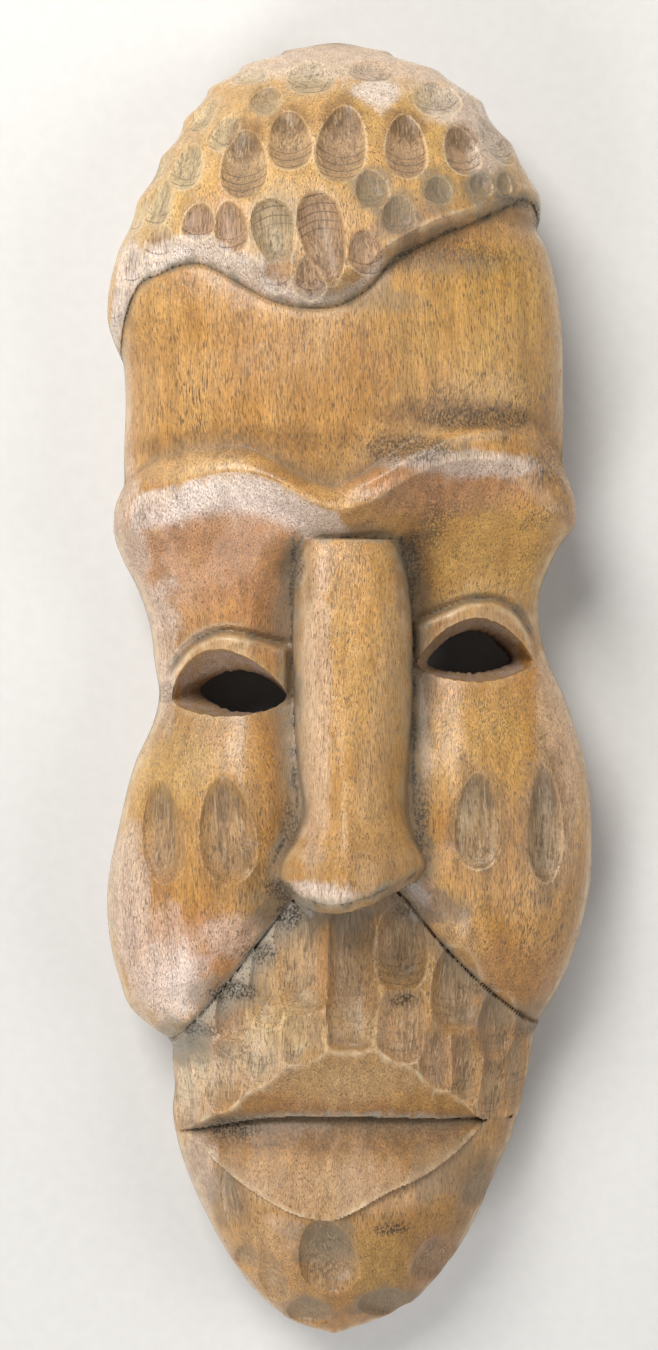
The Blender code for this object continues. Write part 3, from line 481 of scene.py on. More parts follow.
def forehead_and_hair(x, y):
    """The forehead, and the gouged cap of hair that stands above it behind a bevelled band."""
    forehead = log(x, y, flowing(FOREHEAD_TOP, y), 2.15)
    hair = log(x, y, flowing(HAIR_TOP, y), 2.1) - gouged(x, y, HAIR_CUTS)[0]
    beyond = past(HAIRLINE, x, y)
    band = 6.6 - 4.0 * ease((x + 6) / 20)
    capped = forehead + (hair - forehead) * np.clip(beyond / band, 0, 1)
    return np.where(beyond > 0, capped, forehead - np.exp(np.minimum(beyond, 0) / 1.2))


def brow(x, y, forehead):
    """The brow's roll, from the valley under the forehead down to its crest."""
    valley = flowing(VALLEY, x)
    crest = flowing(CREST, x)
    dip = 1.0 + 0.8 * ease((x + 4) / 10)
    forehead = forehead - dip * (1 - ease((y - valley) / 13))
    rise = np.clip((valley - y) / (valley - crest), 0, 1)
    roll = 1.4 * np.exp(-(past(ROLL, x, y) / 1.8)**2) * ease((x + 4) / 8) * ease((52 - x) / 14) * (rise > 0)
    return forehead + (log(x, crest, BROW_TOP, 2.2) - forehead) * np.sin(rise * np.pi / 2) + roll


def sockets_and_cheeks(x, y):
    """The plane that falls from the crest to the lids, and the full cheeks below, with their cuts."""
    crest = flowing(CREST, x)
    lid = flowing(LID, x)
    fall = np.clip((crest - y) / (crest - lid), 0, 1)
    steep = 1.8 + 1.2 * np.exp(-((x + 2) / 13)**2)
    lid_top = flowing(CHEEK_TOP, lid)
    top = np.where(y > lid, lid_top + (BROW_TOP - lid_top) * (1 - fall)**steep, flowing(CHEEK_TOP, y))
    beside_nose = np.maximum(flowing(NOSE_LEFT, y) - x, x - flowing(NOSE_RIGHT, y))
    hollow = 6 * ease((40 - y) / 22) * (1 - ease(beside_nose / 16))
    pits = sum(2.5 * np.exp(-((x - at)**2 + (y - level)**2) / 20) for at, level in ((-17, 34), (16, 38)))
    return log(x, y, top, 2.2) - hollow - pits + lids(x, y) - DEEPER * gouged(x, y, CHEEK_CUTS)[0]


def muzzle_and_chin(x, y):
    """The fluted muzzle, the upper lip that steps over the slit, the lower lip and the gouged chin."""
    muzzle = log(x, y, flowing(MUZZLE_TOP, y), 1.9)
    slit = flowing(SLIT, x)
    upper = flowing(UPPER_LIP, x)
    lower = flowing(LOWER_LIP, x)
    slit_height = log(x, slit, SLIT_TOP, 2.2)
    upper_height = log(x, upper, flowing(MUZZLE_TOP, upper), 1.9)
    lower_height = log(x, lower, flowing(MUZZLE_TOP, lower), 1.9)
    flutes = gouged(x, y, BEARD_FLUTES, FLUTE)[0]
    bearded = muzzle - DEEPER * np.maximum(flutes, gouged(x, y, BEARD_BOWLS, SHALLOW)[0])
    inward = np.clip((upper - y) / np.maximum(upper - slit, 0.3), 0, 1)
    overhang = slit_height + LIP_STEP * np.sqrt(np.clip(1 - ((x - SPINE) / MOUTH_HALF)**2, 0, 1))
    upper_plane = np.minimum(upper_height + (overhang - upper_height) * inward, bearded)
    outward = np.clip((slit - y) / np.maximum(slit - lower, 0.3), 0, 1)
    lower_plane = slit_height + (lower_height - slit_height) * outward**0.9
    undercut = (0.9 + 1.1 * ease((x + 6) / 8)) * np.exp(-np.clip(lower - y, 0, 60) / 7)
    chin = muzzle - undercut - DEEPER * gouged(x, y, CHIN_CUTS)[0]
    z = np.where(y > upper, bearded, upper_plane)
    z = np.where(y < slit, lower_plane, z)
    return np.where(y < np.minimum(slit, lower), chin, z)


def nose(x, y):
    """A long half cylinder that turns angular, flares like a bell at the wings and is bevelled below."""
    edge = np.where(x < NOSE_LINE, flowing(NOSE_LEFT, y), flowing(NOSE_RIGHT, y))
    aside = (x - NOSE_LINE) / (edge - NOSE_LINE)
    power = 4.0 - 2.3 * ease((42 - y) / 80)
    ridge = NOSE_BASE + (flowing(NOSE_TOP, y) - NOSE_BASE) * (1 - np.clip(aside, 0, 1)**power)**0.55
    below = np.minimum(past(NOSE_FOOT, x, y), 0)
    ridge = ridge + 2.2 * below + 20 * np.minimum(below + 3.5, 0)
    return np.where((y > NOSE_HEAD) | (aside >= 1), 0, ridge)


def front(x, y):
    """Height of the carved front over the table at x and y."""
    z = forehead_and_hair(x, y)
    z = np.where(y < flowing(VALLEY, x) + 14, brow(x, y, z), z)
    z = np.where(y < flowing(CREST, x), sockets_and_cheeks(x, y), z)
    muzzle = muzzle_and_chin(x, y)
    foot = past(CHEEK_FOOT, x, y)
    lobe = np.sqrt(1 - (1 - np.clip(foot / 20, 0, 1))**2)
    ground = np.minimum(muzzle - 2.5, z)
    z = np.where(foot > 0, ground + (z - ground) * lobe, muzzle)
    return np.maximum(z, nose(x, y))


def knife_marks(x, y):
    """Wood that the knife's last passes took off: long waves, at most a third of a millimetre deep."""
    return 0.16 + 0.08 * ripple(x, y * 0.45, 11) + 0.05 * ripple(x, y * 0.7, 4.5, 0.8)


def to_metres(x, y, z, sizes):
    """Drawn millimetres to metres at the chosen sizes, with the outline's middle at x = 0."""
    x, y, z = np.broadcast_arrays(x, y, z)
    return np.stack([(x - DRAWN_MIDDLE) * sizes.width / DRAWN_WIDTH, y * sizes.length / DRAWN_LENGTH,
                     z * sizes.depth / DRAWN_DEPTH], axis=-1)


def to_drawn(points, sizes):
    """Metres back to drawn millimetres, as three arrays."""
    x, y, z = points.T
    return (x * DRAWN_WIDTH / sizes.width + DRAWN_MIDDLE, y * DRAWN_LENGTH / sizes.length,
            z * DRAWN_DEPTH / sizes.depth)


def inset(x, y, distance, sizes):
    """The outline's points drawn in towards the middle by a distance in metres at its ends and its widest."""
    return SPINE + (x - SPINE) * (1 - 2 * distance / sizes.width), y * (1 - 2 * distance / sizes.length)


def scoops(x, y):
    """Depth of the short adze strokes in the hollow: staggered rows of shallow bowls, 0 to 1."""
    row = y / 21
    column = x / 8.5 + 0.5 * (np.round(row) % 2) + 0.12 * ripple(x, y, 30)
    return np.clip(1 - 2.2 * (column - np.round(column))**2 - 2.2 * (row - np.round(row))**2, 0, 1)


def sections(sizes):
    """Points of the closed sections, in rows from the chin to the crown.

    Each runs over the front from left to right, down the right side, in along the rim, through the
    hollow's arch, and out along the rim and up the left side.
    """
    along = np.linspace(-1, 1, ROWS)[:, None]
    y = np.sign(along) * (1 - (1 - np.abs(along))**ROW_CROWDING) * DRAWN_LENGTH / 2
    left, right = outline(y)

    share = np.sin((np.arange(FRONT_COLUMNS + 1) / FRONT_COLUMNS - 0.5) * np.pi)[None, :]
    x = SPINE + np.where(share < 0, SPINE - left, right - SPINE) * share
    over = np.broadcast_to(y, x.shape)
    top = to_metres(x, over, front(x, over) - knife_marks(x, over), sizes)

    step = np.arange(1, SIDE_STEPS + 2)[None, :]
    down = np.clip(step / SIDE_STEPS, 0, 1)
    sides = []
    for edge in (right, left):
        rough = SIDE_ROUGHNESS * down * (1 - down) * 4 * (1 + ripple(y, down * 25, 16))
        drawn_in = sizes.side_lean * down**1.5 + rough + sizes.rim * (step > SIDE_STEPS)
        side_x, side_y = inset(edge, y, drawn_in, sizes)
        side_z = (front(edge, y) - knife_marks(edge, y)) * (1 - down)
        sides.append(to_metres(side_x, side_y, side_z, sizes))

    share = np.cos(np.arange(1, HOLLOW_COLUMNS) / HOLLOW_COLUMNS * np.pi)[None, :]
    edge = SPINE + np.where(share < 0, SPINE - left, right - SPINE) * share
    roof_x, roof_y = inset(edge, y, sizes.side_lean + sizes.rim, sizes)
    hollow = to_metres(roof_x, roof_y, flowing(LOWEST_FRONT, roof_y), sizes)
    arch = (1 - np.abs(share)**3)**(1 / 3)
    end_rise = np.clip(2 * np.sqrt(1 - along**2), 0, 1)
    worked = np.maximum(hollow[..., 2] - sizes.wall, 0) * arch * end_rise
    hollow[..., 2] = np.maximum(worked - ADZE_DEPTH * (1 - scoops(roof_x, roof_y)) * ease(worked / 0.006), 0)
    return np.concatenate([top, sides[0], hollow, sides[1][:, ::-1]], axis=1)


def rolled(name, rings, capped=False):
    """A mesh whose rows of points are closed rings, joined row to row, with faces that look outward."""
    rows, around = rings.shape[:2]
    number = np.arange(rows * around).reshape(rows, around)
    beside = np.roll(number, -1, axis=1)
    faces = np.stack([number[:-1], beside[:-1], beside[1:], number[1:]], axis=-1).reshape(-1, 4)
    ends = [number[0, ::-1].tolist(), number[-1].tolist()] if capped else []
    mesh = bpy.data.meshes.new(name)
    mesh.from_pydata(rings.reshape(-1, 3), [], faces.tolist() + ends)
    made = bpy.data.objects.new(name, mesh)
    bpy.context.scene.collection.objects.link(made)
    return made


def eye_plug(name, eye, sizes):
    """The wood taken out of an eye: the rim's outline at the front, a little frayed, tapering to the smaller
    hole behind. Each ring is two arcs between the eye's corners."""
    corners, rise, fall, lean, back_corners, back_rise, back_fall = eye
    turn = np.arange(EYE_POINTS) * 2 * np.pi / EYE_POINTS

    def ring(ends, *arcs):
        x = (ends[0] + ends[2]) / 2 - (ends[2] - ends[0]) / 2 * np.cos(turn)
        upper, lower = almond(x, ends, *arcs)
        return x, np.where(np.sin(turn) >= 0, upper, lower)

    x, y = ring(corners, rise, fall, lean)
    frayed = FRAY * ripple(x, y, 2.6) * np.abs(np.sin(turn))
    top = front(x, y)
    back_x, back_y = ring(back_corners, back_rise, back_fall)
    surface = to_metres(x, y + frayed, top, sizes)
    back = to_metres(back_x, back_y + 1.6 * frayed, top, sizes) - [0, 0, sizes.wall]
    share = np.linspace(0, 1, PLUG_RINGS)[:, None, None]
    walls = back + (surface - back) * share
    under = back * [1, 1, 0] - [0, 0, PLUG_REACH]
    rings = np.concatenate([surface[None] + [0, 0, PLUG_REACH], walls[::-1], under[None]])
    return rolled(name, rings, capped=True)


def soft_noise(x, y, size):
    """Smooth random hills between 0 and 1, about size millimetres apart: waves of two lengths multiplied."""
    return np.clip(0.5 + 0.5 * ripple(x, y, size) + 0.25 * ripple(x, y, size * 0.43, 1.1), 0, 1)


def patches(x, y, spots):
    """Where a patch of finish lies, 0 to 1: soft ellipses with broken edges, the strongest one counting."""
    total = np.zeros(x.shape)
    edge = 0.35 * ripple(x, y, 9) + 0.25 * ripple(x, y, 3.2, 0.7)
    for middle_x, middle_y, half, height, strength in spots:
        far = ((x - middle_x) / half)**2 + ((y - middle_y) / height)**2
        total = np.maximum(total, strength * ease(1.45 - 0.75 * (far + edge * np.minimum(far, 1.5))))
    return total


def relief(x, y):
    """How far each point stands over the ground around it, in millimetres, against ever wider grounds.

    The front is worked out on a regular grid, and its ground is that grid blurred by a bell curve, with the
    bell's own transform, exp of minus half (width times frequency) squared.
    """
    step = 0.5
    columns, rows = 320, 800
    grid_x, grid_y = np.meshgrid((np.arange(columns) - columns / 2) * step,
                                 (np.arange(rows) - rows / 2) * step)
    height = front(grid_x, np.clip(grid_y, -LAST_Y, LAST_Y))
    waves = np.fft.rfft2(height)
    wide = 2 * np.pi * np.fft.fftfreq(rows, step)[:, None]
    tall = 2 * np.pi * np.fft.rfftfreq(columns, step)[None, :]
    column = np.clip(x / step + columns / 2, 0, columns - 1.001)
    row = np.clip(y / step + rows / 2, 0, rows - 1.001)
    i, j = column.astype(int), row.astype(int)
    u, v = column - i, row - j
    found = []
    for width in GROUNDS:
        ground = np.fft.irfft2(waves * np.exp(-0.5 * width**2 * (wide**2 + tall**2)), height.shape)
        over = height - ground
        found.append((over[j, i] * (1 - u) + over[j, i + 1] * u) * (1 - v)
                     + (over[j + 1, i] * (1 - u) + over[j + 1, i + 1] * u) * v)
    return found


def near_eye(x, y):
    """1 on the rims of the eyes, fading out a millimetre and a half away."""
    closest = np.full(x.shape, 99.0)
    for eye in (LEFT_EYE, RIGHT_EYE):
        x0, _, x1, _ = eye[0]
        upper, lower = almond(x, *eye[:4])
        gap = np.minimum(np.abs(y - upper), np.abs(y - lower)) + np.maximum(np.maximum(x0 - x, x - x1), 0)
        closest = np.minimum(closest, gap)
    return np.exp(-(closest / 1.5)**2)


def within_eye(x, y):
    """1 inside the eyes' rims and half a millimetre round them."""
    inside = np.zeros(x.shape)
    for eye in (LEFT_EYE, RIGHT_EYE):
        x0, _, x1, _ = eye[0]
        upper, lower = almond(x, *eye[:4])
        inside = np.maximum(inside, (y < upper + 0.7) & (y > lower - 0.7) & (x > x0 - 0.5) & (x < x1 + 0.5))
    return inside


def nearest_seam(x, y):
    """Distance in millimetres to the nearest line where two carved forms meet and dirt gathers."""
    beside = np.minimum(np.abs(x - flowing(NOSE_LEFT, y)), np.abs(x - flowing(NOSE_RIGHT, y)))
    upright = (y > -50) & (y < NOSE_HEAD + 1)
    under = np.abs(x) < WING_REACH
    over_eye = ((x > -54) & (x < -19)) | ((x > 17) & (x < 56))
    thinner = np.where(x < 12, 0.42, 0.12)
    filled = np.where(x < -21, 0.38, 0.05)
    gaps = (
        np.abs(past(HAIRLINE, x, y)) + thinner,
        np.where(upright, 0.65 * beside, SEAM_REACH),
        np.where(under, np.abs(past(NOSE_FOOT, x, y) + 0.6), np.abs(past(CHEEK_FOOT, x, y)) + filled),
        np.where(under & (np.abs(x) < 15), np.abs(y - NOSE_HEAD - 0.4), SEAM_REACH),
        np.where((x > -46) & (x < 39), np.abs(past(SLIT, x, y)), SEAM_REACH),
        np.where(over_eye, np.abs(past(LID, x, y)) + 0.3, SEAM_REACH),
    )
    return np.clip(np.minimum.reduce(gaps), 0, SEAM_REACH)


def cut_finish(x, y, top):
    """How the gouge cuts look: depth, place along the cut, chisel arcs, rim, how pale the rim is and how bare
    the wood. The deepest cut gives the first three, and the one whose rim is nearest the other three. The
    pale rim is partly wear and partly a painted highlight, strongest at the cut's foot."""
    hair = past(HAIRLINE, x, y) > 0
    cheek = (y < 0) & (y > -70)
    beard = (past(CHEEK_FOOT, x, y) < 0) & (y > flowing(UPPER_LIP, x)) & (top > nose(x, y) + 0.01)
    chin = y < np.minimum(flowing(SLIT, x), flowing(LOWER_LIP, x))
    depth, place, arcs, edged = np.zeros((4, *x.shape))
    rim = np.full(x.shape, -RIM_REACH)
    bare = np.full(x.shape, 0.85)
    for cuts, kind, here, lined, paled, faded in (
            (HAIR_CUTS, BOWL, hair, 0.85, 0.75, 0.75), (CHEEK_CUTS, BOWL, cheek & (x < 0), 0.0, 0.2, 0.2),
            (CHEEK_CUTS, BOWL, cheek & (x > 0), 0.2, 0.45, 0.8), (BEARD_FLUTES, FLUTE, beard, 0.3, 0.5, 0.4),
            (BEARD_BOWLS, SHALLOW, beard, 0.35, 0.5, 0.42), (CHIN_CUTS, BOWL, chin, 0.1, 0.1, 0.5)):
        cut, along, inside = gouged(x, y, cuts, kind)
        nearer = here & (np.abs(inside) < np.abs(rim))
        rim = np.where(nearer, inside, rim)
        # Painted highlight: the rim is paler towards the cut's foot, where it catches the light.
        edged = np.where(nearer, paled * (0.35 + 0.65 * ease(0.65 - along / 9)), edged)
        bare = np.where(nearer, faded, bare)
        deeper = here & (cut > depth)
        depth = np.where(deeper, cut, depth)
        place = np.where(deeper, along, place)
        arcs = np.where(deeper, lined, arcs)
    return depth, place, arcs, rim, edged, bare


def outer_walls(x, y, z, top, sizes):
    """1 on the outer side walls, and how far the varnish runs down them: full above, none near the table."""
    grown_x = SPINE + (x - SPINE) / (1 - 2 * sizes.side_lean / sizes.width)
    grown_y = np.clip(y / (1 - 2 * sizes.side_lean / sizes.length), -LAST_Y, LAST_Y)
    outer = np.abs(across(grown_x, grown_y)) > 0.9
    return outer, outer * ease((z / np.maximum(top, 1) - 0.12) / 0.5)


def packed_dust(x, y):
    """Dust packed in under the cheeks: full along their foot, gone about six millimetres below it."""
    under = -past(CHEEK_FOOT, x, y)
    outside_nose = (past(NOSE_FOOT, x, y) < -1) | (np.abs(x) > WING_REACH)
    packed = np.where(x < LINT_SIDE, ease(1.3 - under / 6.4), 0.85 * ease(1.2 - under / 5.2))
    return packed * ease((under + 1.4) / 0.7) * outside_nose * (y > DUST_END)


def mouth_finish(x, y):
    """How dark the wood is below the mouth's slit and over it, fading with distance, and the slit's dust.
    The darkness is partly old varnish and partly painted shade cast by the upper lip's step over the slit.
    """
    below = flowing(SLIT, x) - y
    aside = np.abs(x - SPINE)
    in_mouth = (aside < MOUTH_HALF) * ease((MOUTH_HALF - aside) / 8)
    lower = in_mouth * ease(below / 1.2) * ease(1.3 - below / 9)
    upper = 0.8 * in_mouth * ease(-below / 1.5) * ease(1.2 + below / 6.5)
    return lower, upper, in_mouth * ease(1 - np.abs(below + 0.7) / 0.9)


def brow_facets(x, y):
    """The facets under the brow's crest, the left painted pale as a highlight and the right greyish,
    parted by a leaning line.
    """
    at, level, lean = FACET_LINE
    below = flowing(CREST, x) - y
    side = x + lean * (y - level) - at
    clear = (y > 38) & (np.abs(x) < 62) & ((y > NOSE_HEAD) | (np.abs(x) >= 16))
    left = ease(below) * ease((12.5 - below) / 4) * (side < 0) * clear
    return left, ease(below) * ease((9 - below) / 4) * (side > 0) * clear


def hair_bevel(x, beyond):
    """The bevelled band behind the hairline, wide at the left and run out past the middle; it is painted pale
    as a highlight.
    """
    width = 8.0 - 4.6 * ease((x + 46) / 40)
    return ease(beyond / 0.8) * ease((width - beyond) / 1.6) * ease((12 - x) / 8)


def finish_masks(points, sizes):
    """What the finish is at each corner of the carving, as named values that the wood's nodes read."""
    x, y, z = to_drawn(points, sizes)
    top = front(x, np.clip(y, -LAST_Y, LAST_Y))
    on_front = ease((z - top + 1.6) / 0.8)
    depth, place, arcs, rim, edged, bare = cut_finish(x, y, top)
    outer, varnished = outer_walls(x, y, z, top, sizes)
    packed = packed_dust(x, y)
    lower_shade, upper_shade, slit_dust = mouth_finish(x, y)
    left_facet, right_facet = brow_facets(x, y)
    beyond = past(HAIRLINE, x, y)
    on_hair = np.where(y > HAIR_START, ease(beyond + 0.5), 1)
    # Painted highlight: the left facet under the brow and the hair's bevelled band are painted pale as well
    # as polished.
    sheen_wash = np.maximum(left_facet, hair_bevel(x, beyond))
    valley = np.abs(past(VALLEY, x, y))

    near, wide, broad = relief(x, y)
    broken = 0.6 + 0.8 * soft_noise(x, y, 5)
    crease = np.clip(-near / 0.30, 0, 1) * 0.3 + np.clip(-wide / 1.5, 0, 1) * 0.6
    settled = np.clip(-broad / 2.6 - 0.12, 0, 0.85)
    standing = np.clip((near - 0.03) / 0.16, 0, 1) * (depth < 0.05) * (rim < -1.2)
    ridge = 0.7 * standing + 0.3 * near_eye(x, y)
    in_slit = (np.abs(past(SLIT, x, y)) < 2.5) & (np.abs(x - SPINE) < MOUTH_HALF)
    ridge = np.where(in_slit | (valley < 5), 0.15 * ridge, ridge)
    ridge = np.where(np.abs(past(CREST, x, y)) < 4, 0.25 * ridge, ridge)
    # Partly painted shade: the darkness over and under the mouth's slit joins the varnish pooled in the
    # hollows.
    pooled_varnish_and_shade = np.maximum(np.clip(-wide / 2.2, 0, 0.8), 1.2 * np.maximum(lower_shade, upper_shade))

    masks = {
        "cut": np.clip(depth / 1.2, 0, 1),
        "foot": ease((-place - 0.5) / 4) * np.clip(depth, 0, 1),
        "lined": arcs,
        "hair": ease((beyond + 1) / 2),
        "crease": np.clip(crease * broken, 0, 1),
        "ridge": np.clip(ridge * broken, 0, 1),
        "varnish": np.maximum(patches(x, y, VARNISH_AND_SHADE_PATCHES), pooled_varnish_and_shade),
        "rust": patches(x, y, RUST_PATCHES) * on_hair,
        "gold": patches(x, y, GOLD_PATCHES),
        "olive": patches(x, y, OLIVE_PATCHES),
        "mauve": np.maximum(patches(x, y, MAUVE_PATCHES), 0.9 * right_facet),
        "pale": np.maximum(patches(x, y, PALE_AND_SHEEN_PATCHES) * on_hair, 0.85 * sheen_wash),
        "polish": np.maximum(patches(x, y, POLISH_PATCHES) * on_hair, sheen_wash),
        "dull": np.maximum(patches(x, y, DULL_PATCHES), ease(1.5 - valley / 3)),
        "pores": patches(x, y, PORE_PATCHES),
        "dust": np.maximum.reduce((patches(x, y, DUST_PATCHES), settled, packed * (x > LINT_SIDE))),
        "lint": np.maximum(packed * (x <= LINT_SIDE), slit_dust),
        # Partly painted shade: a share of the darkness below the mouth's slit is laid on as grime.
        "grime": np.maximum(patches(x, y, GRIME_SPOTS), 0.35 * lower_shade),
    }
    masks = {name: value * on_front for name, value in masks.items()}
    masks["varnish"] += 0.6 * outer * (1 - on_front)
    masks["hidden"] = (1 - 0.9 * varnished) * (1 - on_front)
    masks["eye_wall"] = within_eye(x, y) * (1 - on_front)
    masks["rim"] = np.where(on_front > 0.5, rim, -RIM_REACH)
    masks["seam"] = np.where(on_front > 0.5, nearest_seam(x, y), SEAM_REACH)
    return {**masks, "arc": place, "bare": bare, "edged": edged}


def carve(sizes):
    """The whole mask as one mesh: rolled sections, thinned where they are plain, with the eyes cut out."""
    body = rolled("mask_wood", sections(sizes))
    plugs = [eye_plug("left_eye_plug", LEFT_EYE, sizes), eye_plug("right_eye_plug", RIGHT_EYE, sizes)]
    weld = body.modifiers.new("closed ends", "WELD")
    weld.merge_threshold = HAIR_BREADTH
    thin = body.modifiers.new("fewer triangles where the wood is plain", "DECIMATE")
    for plug in plugs:
        cut = body.modifiers.new(plug.name, "BOOLEAN")
        cut.object = plug
        cut.solver = "MANIFOLD"
    thin.ratio = sizes.triangles / (2 * len(body.data.polygons))
    evaluated = body.evaluated_get(bpy.context.evaluated_depsgraph_get())
    mesh = bpy.data.meshes.new_from_object(evaluated)
    for used in (body, *plugs):
        bpy.data.objects.remove(used)
    mesh.name = "mask_wood"
    points = np.empty(len(mesh.vertices) * 3, np.float32)
    mesh.vertices.foreach_get("co", points)
    box = np.array((CAD_LOW, CAD_HIGH)) + [[HAIR_BREADTH], [-HAIR_BREADTH]]
    points = np.clip(points.reshape(-1, 3), *box)
    mesh.vertices.foreach_set("co", points.astype(np.float32).ravel())
    for name, value in finish_masks(points.astype(float), sizes).items():
        layer = mesh.attributes.new(name, "FLOAT", "POINT")
        layer.data.foreach_set("value", value.astype(np.float32))
    mesh.shade_smooth()
    mesh.set_sharp_from_angle(angle=np.radians(SHARP_ANGLE))
    mask = bpy.data.objects.new("mask_wood", mesh)
    bpy.context.scene.collection.objects.link(mask)
    return mask


class Nodes:
    """Shader nodes put down one after another, each with its inputs joined or set as it is made.

    A value is a number or another node's output, and a colour is three numbers or an output.
    """

    def __init__(self, name):
        self.material = bpy.data.materials.new(name)
        self.material.use_nodes = True
        self.tree = self.material.node_tree
        self.shader = self.tree.nodes["Principled BSDF"]

    def give(self, socket, value):
        if isinstance(value, bpy.types.NodeSocket):
            self.tree.links.new(value, socket)
        else:
            socket.default_value = value

    def add(self, kind, *values, output=0, **settings):
        """A node with its settings and its inputs in order, None leaving one as it is."""
        made = self.tree.nodes.new("ShaderNode" + kind)
        for name, value in settings.items():
            setattr(made, name, value)
        for socket, value in zip(made.inputs, values):
            if value is not None:
                self.give(socket, value)
        return made.outputs[output]

    def chain(self, operation, first, *others, **settings):
        """The first value put together with each of the others in turn."""
        for other in others:
            first = self.add("Math", first, other, operation=operation, **settings)
        return first

    def times(self, *values):
        return self.chain("MULTIPLY", *values)

    def most(self, *values):
        return self.chain("MAXIMUM", *values)

    def plus(self, *values):
        return self.chain("ADD", *values)

    def less(self, *values):
        return self.chain("SUBTRACT", *values)

    def noise(self, vector, pattern):
        """Noise stretched so that one unit is the pattern's size across and along the grain."""
        across, along, detail, roughness = pattern
        placed = self.add("VectorMath", vector, (1 / across, 1 / along, 1 / across), operation="MULTIPLY")
        return self.add("TexNoise", placed, None, 1.0, detail, roughness)

    def span(self, value, low, high, to_low=0.0, to_high=1.0):
        """A value's place between low and high, eased, as a number from to_low to to_high."""
        return self.add("MapRange", value, low, high, to_low, to_high, interpolation_type="SMOOTHSTEP")

    def mix(self, share, *colours):
        """Two colours mixed by share, 0 for the first and 1 for the second."""
        a, b = (c if isinstance(c, bpy.types.NodeSocket) else (*c, 1.0) for c in colours)
        return self.add("Mix", share, None, None, None, None, None, a, b, output=2, data_type="RGBA")

    def shade(self, colour, brightness):
        return self.add("VectorMath", colour, None, None, brightness, operation="SCALE")

    def mask(self, name):
        return self.add("Attribute", attribute_name=name, output=2)

    def coat(self, colour, name, share, over):
        """A colour with another over it where the named mask is, as strongly as share says."""
        return self.mix(self.times(self.mask(name), share), colour, over)

    def set(self, **inputs):
        """The shader's own inputs, named with _ for a space."""
        for name, value in inputs.items():
            self.give(self.shader.inputs[name.replace("_", " ")], value)


